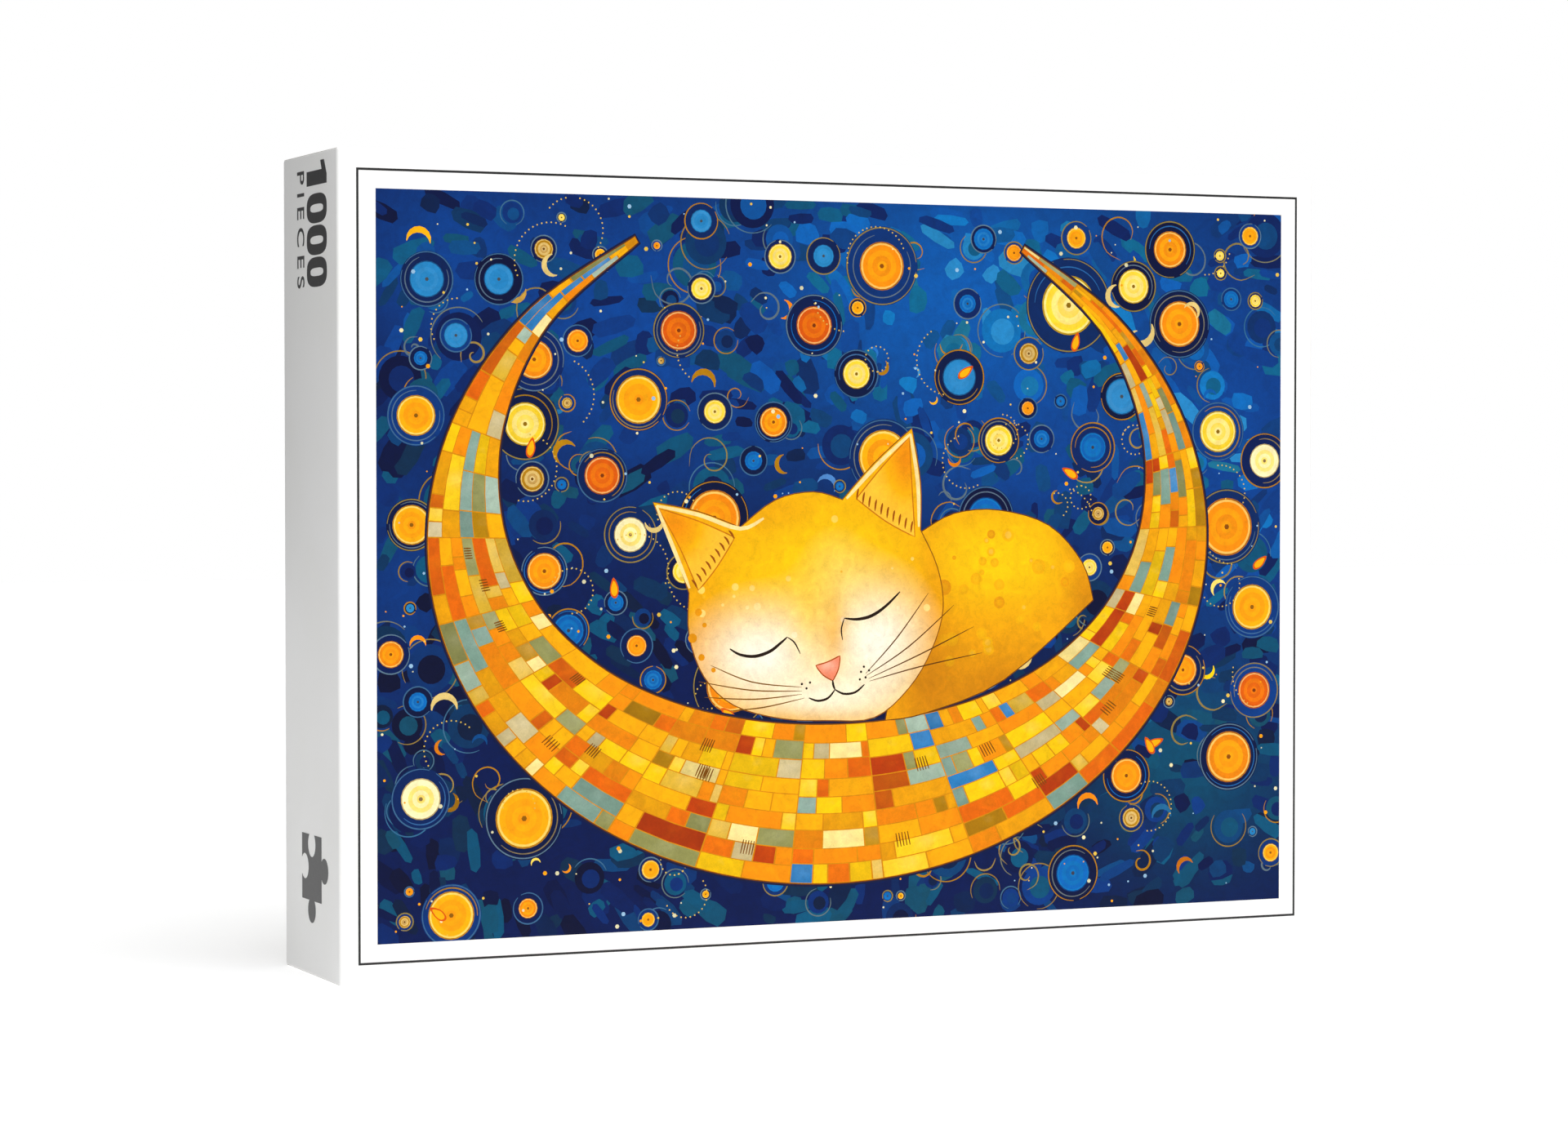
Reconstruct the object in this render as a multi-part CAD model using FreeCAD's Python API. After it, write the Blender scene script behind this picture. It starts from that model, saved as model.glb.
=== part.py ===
"""Boxed jigsaw puzzle of 1000 pieces, standing on its long edge.

A telescoping rigid box: a lid that covers the whole depth, and a tray inside it. Each is a folded
greyboard blank, held at its corners by four stays of kraft tape and covered by a glued paper wrap that
turns in over the rim. The tray holds a sealed film bag with every piece of the puzzle in it.

Frame: millimetres, +Z up. The origin is the middle of the long edge face that the box stands on. X runs
along the box's width, and the front of the lid faces -Y, so the lid comes off along -Y.
"""

import FreeCAD, Part
import math
import os
import random

from FreeCAD import Placement, Rotation, Vector

# ---- driving dimensions, mm -----------------------------------------------------------------------------

box_width = 336.0  # outside of the closed box, along X
box_height = 250.0  # along Z
box_depth = 55.0  # along Y, which is the lid's own depth

lid_board = 1.8  # greyboard of the lid
tray_board = 1.8  # greyboard of the tray
wrap_paper = 0.15  # printed and laminated paper glued round each board
turn_in = 15.0  # how far the wrap runs back inside over the rim
stay_tape = 0.1  # kraft tape pressed into the board's corners
stay_leg = 18.0  # tape width on each side of a corner

corner_seam = 0.2  # open seam where two walls of a board meet, bridged by a stay

fit_gap = 0.6  # air between the lid's inside and the tray's outside, each side
rim_gap = 0.3  # tray rim to the inside of the lid's front panel

puzzle_columns = 40
puzzle_rows = 25
piece_width = 16.5  # cell of the cut, before the knobs
piece_height = 19.2
piece_board = 1.8
knob_reach = 4.1  # how far a knob stands out of its side
knob_head = 4.2  # diameter of a knob's head
knob_neck_round = 0.5  # radius that runs from a side into a knob's neck
knob_drift = 1.0  # how far a knob may sit off the middle of its side
side_bow = 0.25  # how far a side's middle may swell or shrink

bag_film = 0.15
bag_gap = 1.0  # air between the bag and the box around it
bag_corner = 8.0  # rounding of the bag's four upright corners, seen from the front
bag_edge = 1.0  # rounding of its other edges
bag_header = 22.0  # flat sealed strip above the pieces
heap_gap = 0.5  # least air between two pieces side by side, and from a piece to the film
layer_air = 0.15  # least air between two layers of the heap
layer_lean = 1.05  # room that a piece has to lean in its layer
heap_ripple = 9.0  # unevenness of the heap's top

inner_group = 110  # inner pieces in one node

# ---- sizes that follow ----------------------------------------------------------------------------------

lid_wall = wrap_paper + lid_board + wrap_paper  # at the rim, where the wrap turns in
tray_wall = wrap_paper + tray_board + wrap_paper

tray_width = box_width - 2 * (lid_wall + fit_gap)
tray_height = box_height - 2 * (lid_wall + fit_gap)
lid_front = wrap_paper + lid_board
tray_back = wrap_paper + tray_board
tray_depth = box_depth - lid_front - rim_gap  # its back is flush with the lid's rim

tray_back_y = box_depth / 2
tray_middle_z = box_height / 2
room_width = tray_width - 2 * tray_wall
room_floor_z = tray_middle_z - tray_height / 2 + tray_wall
room_top_z = tray_middle_z + tray_height / 2 - tray_wall
room_front_y = -box_depth / 2 + lid_front
room_back_y = tray_back_y - tray_back

bag_width = room_width - 2 * bag_gap
bag_front_y = room_front_y + bag_gap
bag_back_y = room_back_y - bag_gap
bag_floor_z = room_floor_z + bag_gap

piece_reach = max(  # from a piece's middle to its furthest point, a corner or a knob's end
    math.hypot(piece_width, piece_height) / 2,
    math.hypot(max(piece_width, piece_height) / 2 + side_bow + knob_reach, knob_drift + knob_head / 2),
)
slot_pitch = 2 * piece_reach + heap_gap  # a round slot holds a piece however it is turned
row_pitch = slot_pitch * math.sqrt(3) / 2
layer_pitch = piece_board + layer_air + layer_lean


# ---- shapes ---------------------------------------------------------------------------------------------


def slab(x, y, z):
    """A block from three (low, high) pairs."""
    return Part.makeBox(x[1] - x[0], y[1] - y[0], z[1] - z[0], Vector(x[0], y[0], z[0]))


def joined(shapes):
    """Blocks that touch, as one clean solid."""
    return shapes[0].fuse(shapes[1:]).removeSplitter()


def between(sign, a, b):
    """A (low, high) pair from two distances on the side that sign names."""
    return tuple(sorted((sign * a, sign * b)))


def board_box(width, height, depth, board, mouth):
    """An open box as pieces by name, centred on X and Z, its panel's outside at y 0.

    Its mouth faces +Y or -Y, as the sign of mouth says. The pieces are the folded board, its four corner
    stays, and the wrap: its panel and its four sides, each of which covers a wall, the wall's rim and a
    strip of the inside.
    """
    w, h = width / 2, height / 2  # outside of the wrap
    bw, bh = w - wrap_paper, h - wrap_paper  # outside of the board
    iw, ih = bw - board, bh - board  # inside of the board
    tw, th = iw - wrap_paper, ih - wrap_paper  # inside of the wrap where it turns in
    rim = depth - wrap_paper  # the board's own rim
    whole = between(mouth, wrap_paper, rim)
    wall = between(mouth, wrap_paper + board, rim)
    lip = between(mouth, rim, depth)
    inside = between(mouth, depth - turn_in, rim)

    blank = slab((-bw, bw), whole, (-bh, bh)).cut(slab((-iw, iw), wall, (-ih, ih)))
    pieces = {}
    for side, sx in (("left", -1), ("right", 1)):
        for level, sz in (("lower", -1), ("upper", 1)):
            outer = slab(between(sx, bw, bw - stay_leg), whole, between(sz, bh, bh - stay_leg))
            inner_x = between(sx, bw - stay_tape, bw - stay_leg)
            inner_z = between(sz, bh - stay_tape, bh - stay_leg)
            stay = outer.cut(slab(inner_x, whole, inner_z))
            seam = slab(between(sx, iw, iw - corner_seam), wall, between(sz, ih, bh - stay_tape))
            blank = blank.cut(stay).cut(seam)
            pieces[f"corner_stay_{level}_{side}"] = stay
    pieces["board"] = blank

    pieces["wrap_panel"] = slab((-w, w), between(mouth, 0, wrap_paper), (-h, h))
    for side, sx in (("left", -1), ("right", 1)):
        outer = slab(between(sx, w, bw), whole, (-h, h))
        over = slab(between(sx, w, tw), lip, (-h, h))
        turned = slab(between(sx, iw, tw), inside, (-ih, ih))
        pieces[f"wrap_{side}"] = joined([outer, over, turned])
    for side, sz in (("bottom", -1), ("top", 1)):
        outer = slab((-bw, bw), whole, between(sz, h, bh))
        over = slab((-tw, tw), lip, between(sz, h, th))
        turned = slab((-tw, tw), inside, between(sz, ih, th))
        pieces[f"wrap_{side}"] = joined([outer, over, turned])
    return pieces


# ---- the cut of the puzzle ------------------------------------------------------------------------------


def knobbed_side(key, length):
    """One cut between two cells, from (0, 0) to (length, 0), the same for the same key.

    It is a list of lines, as two (along, out) points, and of arcs, as three: a shoulder, the round into the
    neck, the head, the round out of the neck, and the other shoulder.
    """
    chance = random.Random(key)
    out = chance.choice((-1, 1))  # which of the two pieces has the knob
    middle = length / 2 + chance.uniform(-knob_drift, knob_drift)
    size = chance.uniform(0.9, 1.0)
    bow = side_bow * chance.uniform(-1.0, 1.0)
    reach, head, neck = size * knob_reach, size * knob_head / 2, size * knob_neck_round
    head_out = reach - head
    neck_along = math.sqrt((head + neck) ** 2 - (head_out - neck) ** 2)  # the two rounds are tangent
    lean = math.atan2(head_out - neck, neck_along)  # of the line from a neck round's middle to the head's

    def at(along, away):
        return (middle + along, bow + out * away)

    def on_neck(side, angle):
        return at(side * (neck_along - neck * math.cos(angle)), neck + neck * math.sin(angle))

    def neck_arc(side):
        return [at(side * neck_along, 0), on_neck(side, (lean - math.pi / 2) / 2), on_neck(side, lean)]

    start, end = neck_arc(-1), neck_arc(1)[::-1]
    return [
        [(0.0, 0.0), start[0]],
        start,
        [start[-1], at(0, reach), end[0]],
        end,
        [end[-1], (length, 0.0)],
    ]


def side(key, length, straight):
    """A side between two cells, or a straight side at the edge of the puzzle."""
    return [[(0.0, 0.0), (length, 0.0)]] if straight else knobbed_side(key, length)


def backwards(pieces):
    """The same lines and arcs, run from the other end."""
    return [points[::-1] for points in reversed(pieces)]


def piece_outline(column, row):
    """A piece's lines and arcs round its cell's middle, counter-clockwise in X and Z."""
    w, h = piece_width / 2, piece_height / 2
    lower = side(f"level {column} {row}", piece_width, row == 0)
    upper = side(f"level {column} {row + 1}", piece_width, row + 1 == puzzle_rows)
    left = side(f"upright {column} {row}", piece_height, column == 0)
    right = side(f"upright {column + 1} {row}", piece_height, column + 1 == puzzle_columns)
    return (
        [[Vector(a - w, 0, b - h) for a, b in points] for points in lower]
        + [[Vector(w + b, 0, a - h) for a, b in points] for points in right]
        + [[Vector(a - w, 0, h + b) for a, b in points] for points in backwards(upper)]
        + [[Vector(b - w, 0, a - h) for a, b in points] for points in backwards(left)]
    )


def make_piece(column, row):
    """A cut piece with its middle at the origin and its picture towards -Y."""
    shape_of = {2: Part.LineSegment, 3: Part.Arc}
    edges = [shape_of[len(points)](*points).toShape() for points in piece_outline(column, row)]
    face = Part.Face(Part.Wire(edges))
    face.translate(Vector(0, -piece_board / 2, 0))
    return face.extrude(Vector(0, piece_board, 0))


# ---- the heap in the bag --------------------------------------------------------------------------------


def heap_slots(count):
    """The lowest places for so many pieces, as (x, y, z) middles.

    The heap is upright layers, one behind another. In each, round slots lie in rows, every other row one
    slot shorter and half a slot over.
    """
    chance = random.Random("heap")
    half_width = bag_width / 2 - bag_film - heap_gap - piece_reach
    across = int(2 * half_width / slot_pitch) + 1
    spare = 2 * half_width - (across - 1) * slot_pitch
    depth = bag_back_y - bag_front_y - 2 * (bag_film + heap_gap)
    layers = int(depth / layer_pitch)
    first_y = (bag_front_y + bag_back_y - (layers - 1) * layer_pitch) / 2
    floor_z = bag_floor_z + bag_film + heap_gap + piece_reach
    rows = int(count / (layers * (across - 1))) + 2
    slots = []
    for layer in range(layers):
        aside = chance.uniform(-spare, spare) / 2
        rise = chance.uniform(0, heap_ripple)
        for row in range(rows):
            filled = across - (row + layer) % 2
            z = floor_z + rise + row * row_pitch
            for n in range(filled):
                x = aside + (n - (filled - 1) / 2) * slot_pitch
                slots.append((z + chance.uniform(0, heap_ripple), x, first_y + layer * layer_pitch, z))
    slots.sort()
    return [place for rank, *place in slots[:count]]


def loose_pieces():
    """Every piece where it lies in the heap, as {(column, row): solid}, and the height of the heap's top."""
    chance = random.Random("loose")
    cells = [(column, row) for row in range(puzzle_rows) for column in range(puzzle_columns)]
    chance.shuffle(cells)
    most_lean = math.degrees(math.asin(layer_lean / (2 * piece_reach)))
    solids, top = {}, 0.0
    for cell, (x, y, z) in zip(cells, heap_slots(len(cells))):
        way = chance.uniform(0, 2 * math.pi)
        lean = Rotation(Vector(math.cos(way), 0, math.sin(way)), chance.uniform(0, most_lean))
        turn = Rotation(Vector(0, 1, 0), chance.uniform(0, 360))
        face = Rotation(Vector(0, 0, 1), chance.choice((0, 180)))  # picture to the front or to the back
        piece = make_piece(*cell)
        piece.Placement = Placement(Vector(x, y, z), lean * turn * face)
        solids[cell] = piece
        top = max(top, z + piece_reach)
    return solids, top


def piece_groups(solids):
    """The pieces as a player sorts them: corners, edges, and the inner ones in several groups."""
    corners, edges, inner = [], [], []
    for (column, row), solid in solids.items():
        outer_sides = (column in (0, puzzle_columns - 1)) + (row in (0, puzzle_rows - 1))
        (inner, edges, corners)[outer_sides].append(solid)
    groups = {"puzzle_corner_pieces": corners, "puzzle_edge_pieces": edges}
    for first in range(0, len(inner), inner_group):
        number = first // inner_group + 1
        groups[f"puzzle_inner_pieces_{number:02d}"] = inner[first : first + inner_group]
    return {name: Part.makeCompound(members) for name, members in groups.items()}


def bag_block(inset, top_z):
    """The bag's outside, or what is so far inside it, as one rounded block."""
    half = bag_width / 2 - inset
    front_to_back = (bag_front_y + inset, bag_back_y - inset)
    block = slab((-half, half), front_to_back, (bag_floor_z + inset, top_z - inset))
    through = [edge for edge in block.Edges if abs(edge.tangentAt(0).y) > 0.99]
    block = block.makeFillet(bag_corner - inset, through)
    flats = [face for face in block.Faces if abs(face.normalAt(0, 0).y) > 0.99]
    return block.makeFillet(bag_edge - inset, [edge for flat in flats for edge in flat.Edges])


def make_bag(heap_top):
    """The sealed film bag: a hollow body round the heap, and above it the flat strip of its seal."""
    top = heap_top + heap_gap + bag_film
    strip_top = min(top + bag_header, room_top_z - bag_gap)
    middle_y = (bag_front_y + bag_back_y) / 2
    half = bag_width / 2 - bag_corner
    strip = slab((-half, half), (middle_y - bag_film, middle_y + bag_film), (top - bag_film / 2, strip_top))
    return bag_block(0.0, top).fuse(strip).cut(bag_block(bag_film, top))


# ---- build ----------------------------------------------------------------------------------------------


def save(name, shape):
    """Writes one node."""
    shape.exportStep(f"parts/{name}.step")


def save_box(name, pieces, middle):
    """Writes a board box's pieces, moved so that the middle of its panel is there."""
    for part_name, piece in pieces.items():
        piece.translate(middle)
        save(f"{name}_{part_name}", piece)


def main():
    """Builds the object, one file per node."""
    os.makedirs("parts", exist_ok=True)
    lid = board_box(box_width, box_height, box_depth, lid_board, mouth=1)
    save_box("lid", lid, Vector(0, -box_depth / 2, box_height / 2))
    tray = board_box(tray_width, tray_height, tray_depth, tray_board, mouth=-1)
    save_box("tray", tray, Vector(0, tray_back_y, tray_middle_z))
    solids, heap_top = loose_pieces()
    save("bag_film", make_bag(heap_top))
    for name, shape in piece_groups(solids).items():
        save(name, shape)


main()
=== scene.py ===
"""A boxed jigsaw puzzle: a printed lid, the tray inside it, and a clear bag of loose cut pieces.

Everything is in metres in the frame of the design: X along the box's width, the front towards -Y, Z up.
Sizes are given in millimetres and turned to metres with MM.
"""
import logging
import math
import random
from contextlib import contextmanager
from dataclasses import dataclass, field
from enum import Enum
from typing import Callable, Iterator, Sequence

import bmesh
import bpy
import numpy as np
from mathutils import Matrix, Vector, noise
from mathutils.geometry import delaunay_2d_cdt


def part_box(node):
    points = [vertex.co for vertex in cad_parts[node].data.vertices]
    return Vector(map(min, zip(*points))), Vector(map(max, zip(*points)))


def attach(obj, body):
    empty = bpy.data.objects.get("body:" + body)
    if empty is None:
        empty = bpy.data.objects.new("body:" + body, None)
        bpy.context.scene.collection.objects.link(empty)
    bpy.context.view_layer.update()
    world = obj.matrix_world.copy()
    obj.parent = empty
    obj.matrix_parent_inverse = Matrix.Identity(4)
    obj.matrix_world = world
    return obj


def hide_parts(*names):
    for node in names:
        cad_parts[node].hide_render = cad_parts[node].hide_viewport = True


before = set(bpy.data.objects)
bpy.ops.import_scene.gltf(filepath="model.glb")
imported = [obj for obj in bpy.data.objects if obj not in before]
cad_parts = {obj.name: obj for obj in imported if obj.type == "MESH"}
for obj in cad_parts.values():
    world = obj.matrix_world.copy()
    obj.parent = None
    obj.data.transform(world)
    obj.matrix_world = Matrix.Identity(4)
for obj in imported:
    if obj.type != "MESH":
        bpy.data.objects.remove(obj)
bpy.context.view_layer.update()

MM = 0.001
log = logging.getLogger("boxed_puzzle")

HOLE = ""  # the tone of an ink that cuts through those below it

Point = tuple[float, float]
Outline = list[Point]


class Mouth(Enum):
    """The side of a box along Y that is open."""

    FRONT = -1
    BACK = 1


class Flank(Enum):
    """A narrow side of the lid that carries print."""

    LEFT = -1
    RIGHT = 1


# ---- colour and nodes -----------------------------------------------------------------------------------


def colour(code: str) -> tuple[float, float, float, float]:
    """The linear colour of an sRGB hex code.

    Args:
        code: six hex digits after a "#".

    Returns:
        Red, green, blue and alpha, ready for a socket.
    """
    parts = [int(code[i : i + 2], 16) / 255 for i in (1, 3, 5)]
    linear = [p / 12.92 if p <= 0.04045 else ((p + 0.055) / 1.055) ** 2.4 for p in parts]
    return (*linear, 1.0)


def per_metre(size_mm: float) -> float:
    """The scale of a texture whose features are about size_mm across, on coordinates in metres."""
    return 1 / (size_mm * MM)


def add_node(
    tree: bpy.types.NodeTree,
    kind: str,
    feeds: dict[str | int, object] | None = None,
    stops: Sequence[tuple[float, str]] = (),
    **settings: object,
) -> bpy.types.Node:
    """Adds a node with its settings and what feeds it.

    Args:
        tree: the material's or world's node tree.
        kind: the node's type.
        feeds: for each input's name or number, a constant or the output socket that is linked to it.
        stops: for a colour ramp, its stops, each a position and a hex colour.
        settings: the node's own properties.

    Returns:
        The node.
    """
    node = tree.nodes.new(kind)
    for name, value in settings.items():
        setattr(node, name, value)
    for name, value in (feeds or {}).items():
        if isinstance(value, bpy.types.NodeSocket):
            tree.links.new(value, node.inputs[name])
        else:
            node.inputs[name].default_value = value
    for number, (position, code) in enumerate(stops):
        elements = node.color_ramp.elements
        element = elements[number] if number < len(elements) else elements.new(position)
        element.position = position
        element.color = colour(code)
    return node


def new_material(name: str) -> tuple[bpy.types.Material, bpy.types.NodeTree, bpy.types.Node]:
    """A material with only its Principled shader.

    Args:
        name: the finish's name.

    Returns:
        The material, its node tree and its shader.
    """
    material = bpy.data.materials.new(name)
    material.use_nodes = True
    tree = material.node_tree
    return material, tree, tree.nodes["Principled BSDF"]


# ---- finishes -------------------------------------------------------------------------------------------


@dataclass(frozen=True)
class LaminatedPaper:
    """White box paper, printed and film laminated: smooth, a soft satin sheen, with a hint of board below."""

    name: str = "laminated_white_box_paper"
    tone: str = "#FBFBFA"
    shade: str = "#F8F8F6"
    ripple_mm: float = 38.0  # slow waves of the glued sheet, which the sheen shows
    grain_mm: float = 1.2  # the board's fibres, drawn coarser than the real 0.3 mm so that they show

    def material(self) -> bpy.types.Material:
        """Makes the finish as a node material.

        Returns:
            The material.
        """
        material, tree, skin = new_material(self.name)
        place = add_node(tree, "ShaderNodeTexCoord").outputs["Object"]
        clouds = add_node(
            tree, "ShaderNodeTexNoise", {"Vector": place, "Scale": per_metre(self.ripple_mm), "Detail": 3.0}
        )
        stops = ((0.35, self.shade), (0.6, self.tone))
        tones = add_node(tree, "ShaderNodeValToRGB", {0: clouds.outputs[0]}, stops)
        grain = add_node(
            tree, "ShaderNodeTexNoise", {"Vector": place, "Scale": per_metre(self.grain_mm), "Detail": 4.0}
        )
        both = add_node(
            tree,
            "ShaderNodeMath",
            {0: clouds.outputs[0], 1: 1.2, 2: grain.outputs[0]},
            operation="MULTIPLY_ADD",
        )
        bump = add_node(
            tree, "ShaderNodeBump", {"Strength": 0.12, "Distance": 0.05 * MM, "Height": both.outputs[0]}
        )
        tree.links.new(tones.outputs[0], skin.inputs["Base Color"])
        tree.links.new(bump.outputs[0], skin.inputs["Normal"])
        skin.inputs["Roughness"].default_value = 0.42
        skin.inputs["IOR"].default_value = 1.49
        skin.inputs["Coat Weight"].default_value = 0.15  # the matt laminate
        skin.inputs["Coat Roughness"].default_value = 0.3
        return material


@dataclass(frozen=True)
class PlainPaper:
    """Uncoated white liner paper of the tray: dead matt, slightly warm, with visible fibres."""

    name: str = "uncoated_liner_paper"
    tone: str = "#F1EFE9"
    shade: str = "#E4E1D8"
    fibre_mm: float = 1.5  # drawn coarser than the real 0.2 mm fibres so that they show

    def material(self) -> bpy.types.Material:
        """Makes the finish as a node material.

        Returns:
            The material.
        """
        material, tree, skin = new_material(self.name)
        place = add_node(tree, "ShaderNodeTexCoord").outputs["Object"]
        fibres = add_node(
            tree, "ShaderNodeTexNoise", {"Vector": place, "Scale": per_metre(self.fibre_mm), "Detail": 6.0}
        )
        stops = ((0.3, self.shade), (0.65, self.tone))
        tones = add_node(tree, "ShaderNodeValToRGB", {0: fibres.outputs[0]}, stops)
        bump = add_node(
            tree, "ShaderNodeBump", {"Strength": 0.25, "Distance": 0.06 * MM, "Height": fibres.outputs[0]}
        )
        tree.links.new(tones.outputs[0], skin.inputs["Base Color"])
        tree.links.new(bump.outputs[0], skin.inputs["Normal"])
        skin.inputs["Roughness"].default_value = 0.85
        skin.inputs["Sheen Weight"].default_value = 0.1
        return material


@dataclass(frozen=True)
class Greyboard:
    """Raw recycled greyboard: pressed grey pulp with darker and lighter fibre flecks, matt."""

    name: str = "raw_greyboard"
    dark: str = "#8B867E"
    middle: str = "#A09B92"
    light: str = "#B4AFA5"
    fleck_mm: float = 1.8
    pulp_mm: float = 30.0

    def material(self) -> bpy.types.Material:
        """Makes the finish as a node material.

        Returns:
            The material.
        """
        material, tree, skin = new_material(self.name)
        place = add_node(tree, "ShaderNodeTexCoord").outputs["Object"]
        flecks = add_node(
            tree, "ShaderNodeTexNoise", {"Vector": place, "Scale": per_metre(self.fleck_mm), "Detail": 8.0}
        )
        pulp = add_node(
            tree, "ShaderNodeTexNoise", {"Vector": place, "Scale": per_metre(self.pulp_mm), "Detail": 2.0}
        )
        blend = add_node(
            tree,
            "ShaderNodeMath",
            {0: flecks.outputs[0], 1: 0.7, 2: pulp.outputs[0]},
            operation="MULTIPLY_ADD",
        )
        stops = ((0.62, self.dark), (0.84, self.middle), (1.0, self.light))
        tones = add_node(tree, "ShaderNodeValToRGB", {0: blend.outputs[0]}, stops)
        bump = add_node(
            tree, "ShaderNodeBump", {"Strength": 0.4, "Distance": 0.1 * MM, "Height": flecks.outputs[0]}
        )
        tree.links.new(tones.outputs[0], skin.inputs["Base Color"])
        tree.links.new(bump.outputs[0], skin.inputs["Normal"])
        skin.inputs["Roughness"].default_value = 0.93
        return material


@dataclass(frozen=True)
class KraftTape:
    """Gummed kraft stay tape: brown paper with long fibres along the corner and a faint glue shine."""

    name: str = "gummed_kraft_tape"
    tone: str = "#A8794A"
    shade: str = "#8C6138"
    fibre_mm: float = 1.0
    stretch: float = 0.12  # fibres run along Y, so the pattern is drawn out that way

    def material(self) -> bpy.types.Material:
        """Makes the finish as a node material.

        Returns:
            The material.
        """
        material, tree, skin = new_material(self.name)
        place = add_node(tree, "ShaderNodeTexCoord").outputs["Object"]
        along = add_node(tree, "ShaderNodeMapping", {"Vector": place, "Scale": (1.0, self.stretch, 1.0)})
        fibres = add_node(
            tree,
            "ShaderNodeTexNoise",
            {"Vector": along.outputs[0], "Scale": per_metre(self.fibre_mm), "Detail": 5.0},
        )
        stops = ((0.3, self.shade), (0.7, self.tone))
        tones = add_node(tree, "ShaderNodeValToRGB", {0: fibres.outputs[0]}, stops)
        bump = add_node(
            tree, "ShaderNodeBump", {"Strength": 0.3, "Distance": 0.05 * MM, "Height": fibres.outputs[0]}
        )
        tree.links.new(tones.outputs[0], skin.inputs["Base Color"])
        tree.links.new(bump.outputs[0], skin.inputs["Normal"])
        skin.inputs["Roughness"].default_value = 0.6
        return material


@dataclass(frozen=True)
class ClearFilm:
    """Clear polypropylene bag film: nearly invisible face on, with bright crinkled highlights."""

    name: str = "clear_polypropylene_film"
    tone: str = "#F4F8FB"
    crinkle_mm: float = 14.0
    crease_mm: float = 5.0
    alpha: float = 0.16

    def material(self) -> bpy.types.Material:
        """Makes the finish as a node material.

        Returns:
            The material.
        """
        material, tree, skin = new_material(self.name)
        place = add_node(tree, "ShaderNodeTexCoord").outputs["Object"]
        crinkle = add_node(
            tree, "ShaderNodeTexVoronoi", {"Vector": place, "Scale": per_metre(self.crinkle_mm)}, feature="F1"
        )
        crease = add_node(
            tree, "ShaderNodeTexNoise", {"Vector": place, "Scale": per_metre(self.crease_mm), "Detail": 4.0}
        )
        both = add_node(
            tree,
            "ShaderNodeMath",
            {0: crease.outputs[0], 1: 0.6, 2: crinkle.outputs["Distance"]},
            operation="MULTIPLY_ADD",
        )
        bump = add_node(
            tree, "ShaderNodeBump", {"Strength": 0.6, "Distance": 0.8 * MM, "Height": both.outputs[0]}
        )
        tree.links.new(bump.outputs[0], skin.inputs["Normal"])
        skin.inputs["Base Color"].default_value = colour(self.tone)
        skin.inputs["Roughness"].default_value = 0.12
        skin.inputs["IOR"].default_value = 1.49
        skin.inputs["Alpha"].default_value = self.alpha
        return material


@dataclass(frozen=True)
class PrintInk:
    """One solid offset ink under the laminate: almost even, with the paper's faint mottle in it."""

    name: str
    tone: str
    lighter: str
    mottle_mm: float = 1.6

    def material(self) -> bpy.types.Material:
        """Makes the finish as a node material.

        Returns:
            The material.
        """
        material, tree, skin = new_material(self.name)
        place = add_node(tree, "ShaderNodeTexCoord").outputs["Object"]
        mottle = add_node(
            tree, "ShaderNodeTexNoise", {"Vector": place, "Scale": per_metre(self.mottle_mm), "Detail": 3.0}
        )
        stops = ((0.4, self.tone), (0.8, self.lighter))
        tones = add_node(tree, "ShaderNodeValToRGB", {0: mottle.outputs[0]}, stops)
        tree.links.new(tones.outputs[0], skin.inputs["Base Color"])
        skin.inputs["Roughness"].default_value = 0.4
        skin.inputs["IOR"].default_value = 1.49
        return material


@dataclass(frozen=True)
class PaintedPrint:
    """A four-colour print of a painting: colours from the mesh, broken up as brushed paint is."""

    name: str = "four_colour_painting_print"
    attribute: str = "Print"
    dab_mm: float = 5.0  # the length of a brush's dabs
    bristle_mm: float = 1.1  # the marks of its bristles

    def material(self) -> bpy.types.Material:
        """Makes the finish as a node material.

        Returns:
            The material.
        """
        material, tree, skin = new_material(self.name)
        place = add_node(tree, "ShaderNodeTexCoord").outputs["Object"]
        ink = add_node(tree, "ShaderNodeVertexColor", layer_name=self.attribute)
        dabs = add_node(
            tree,
            "ShaderNodeTexNoise",
            {"Vector": place, "Scale": per_metre(self.dab_mm), "Detail": 3.0, "Distortion": 1.2},
        )
        bristles = add_node(
            tree,
            "ShaderNodeTexNoise",
            {"Vector": place, "Scale": per_metre(self.bristle_mm), "Detail": 3.0, "Distortion": 2.0},
        )
        both = add_node(
            tree,
            "ShaderNodeMath",
            {0: dabs.outputs[0], 1: 1.4, 2: bristles.outputs[0]},
            operation="MULTIPLY_ADD",
        )
        light = add_node(
            tree,
            "ShaderNodeMapRange",
            {"Value": both.outputs[0], "From Min": 0.7, "From Max": 1.7, "To Min": 0.8, "To Max": 1.16},
        )
        painted = add_node(
            tree,
            "ShaderNodeHueSaturation",
            {"Color": ink.outputs[0], "Value": light.outputs[0], "Saturation": 1.12},
        )
        bump = add_node(
            tree, "ShaderNodeBump", {"Strength": 0.06, "Distance": 0.02 * MM, "Height": both.outputs[0]}
        )
        tree.links.new(painted.outputs[0], skin.inputs["Base Color"])
        tree.links.new(bump.outputs[0], skin.inputs["Normal"])
        skin.inputs["Roughness"].default_value = 0.5
        skin.inputs["IOR"].default_value = 1.49
        skin.inputs["Specular IOR Level"].default_value = 0.15
        return material


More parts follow.
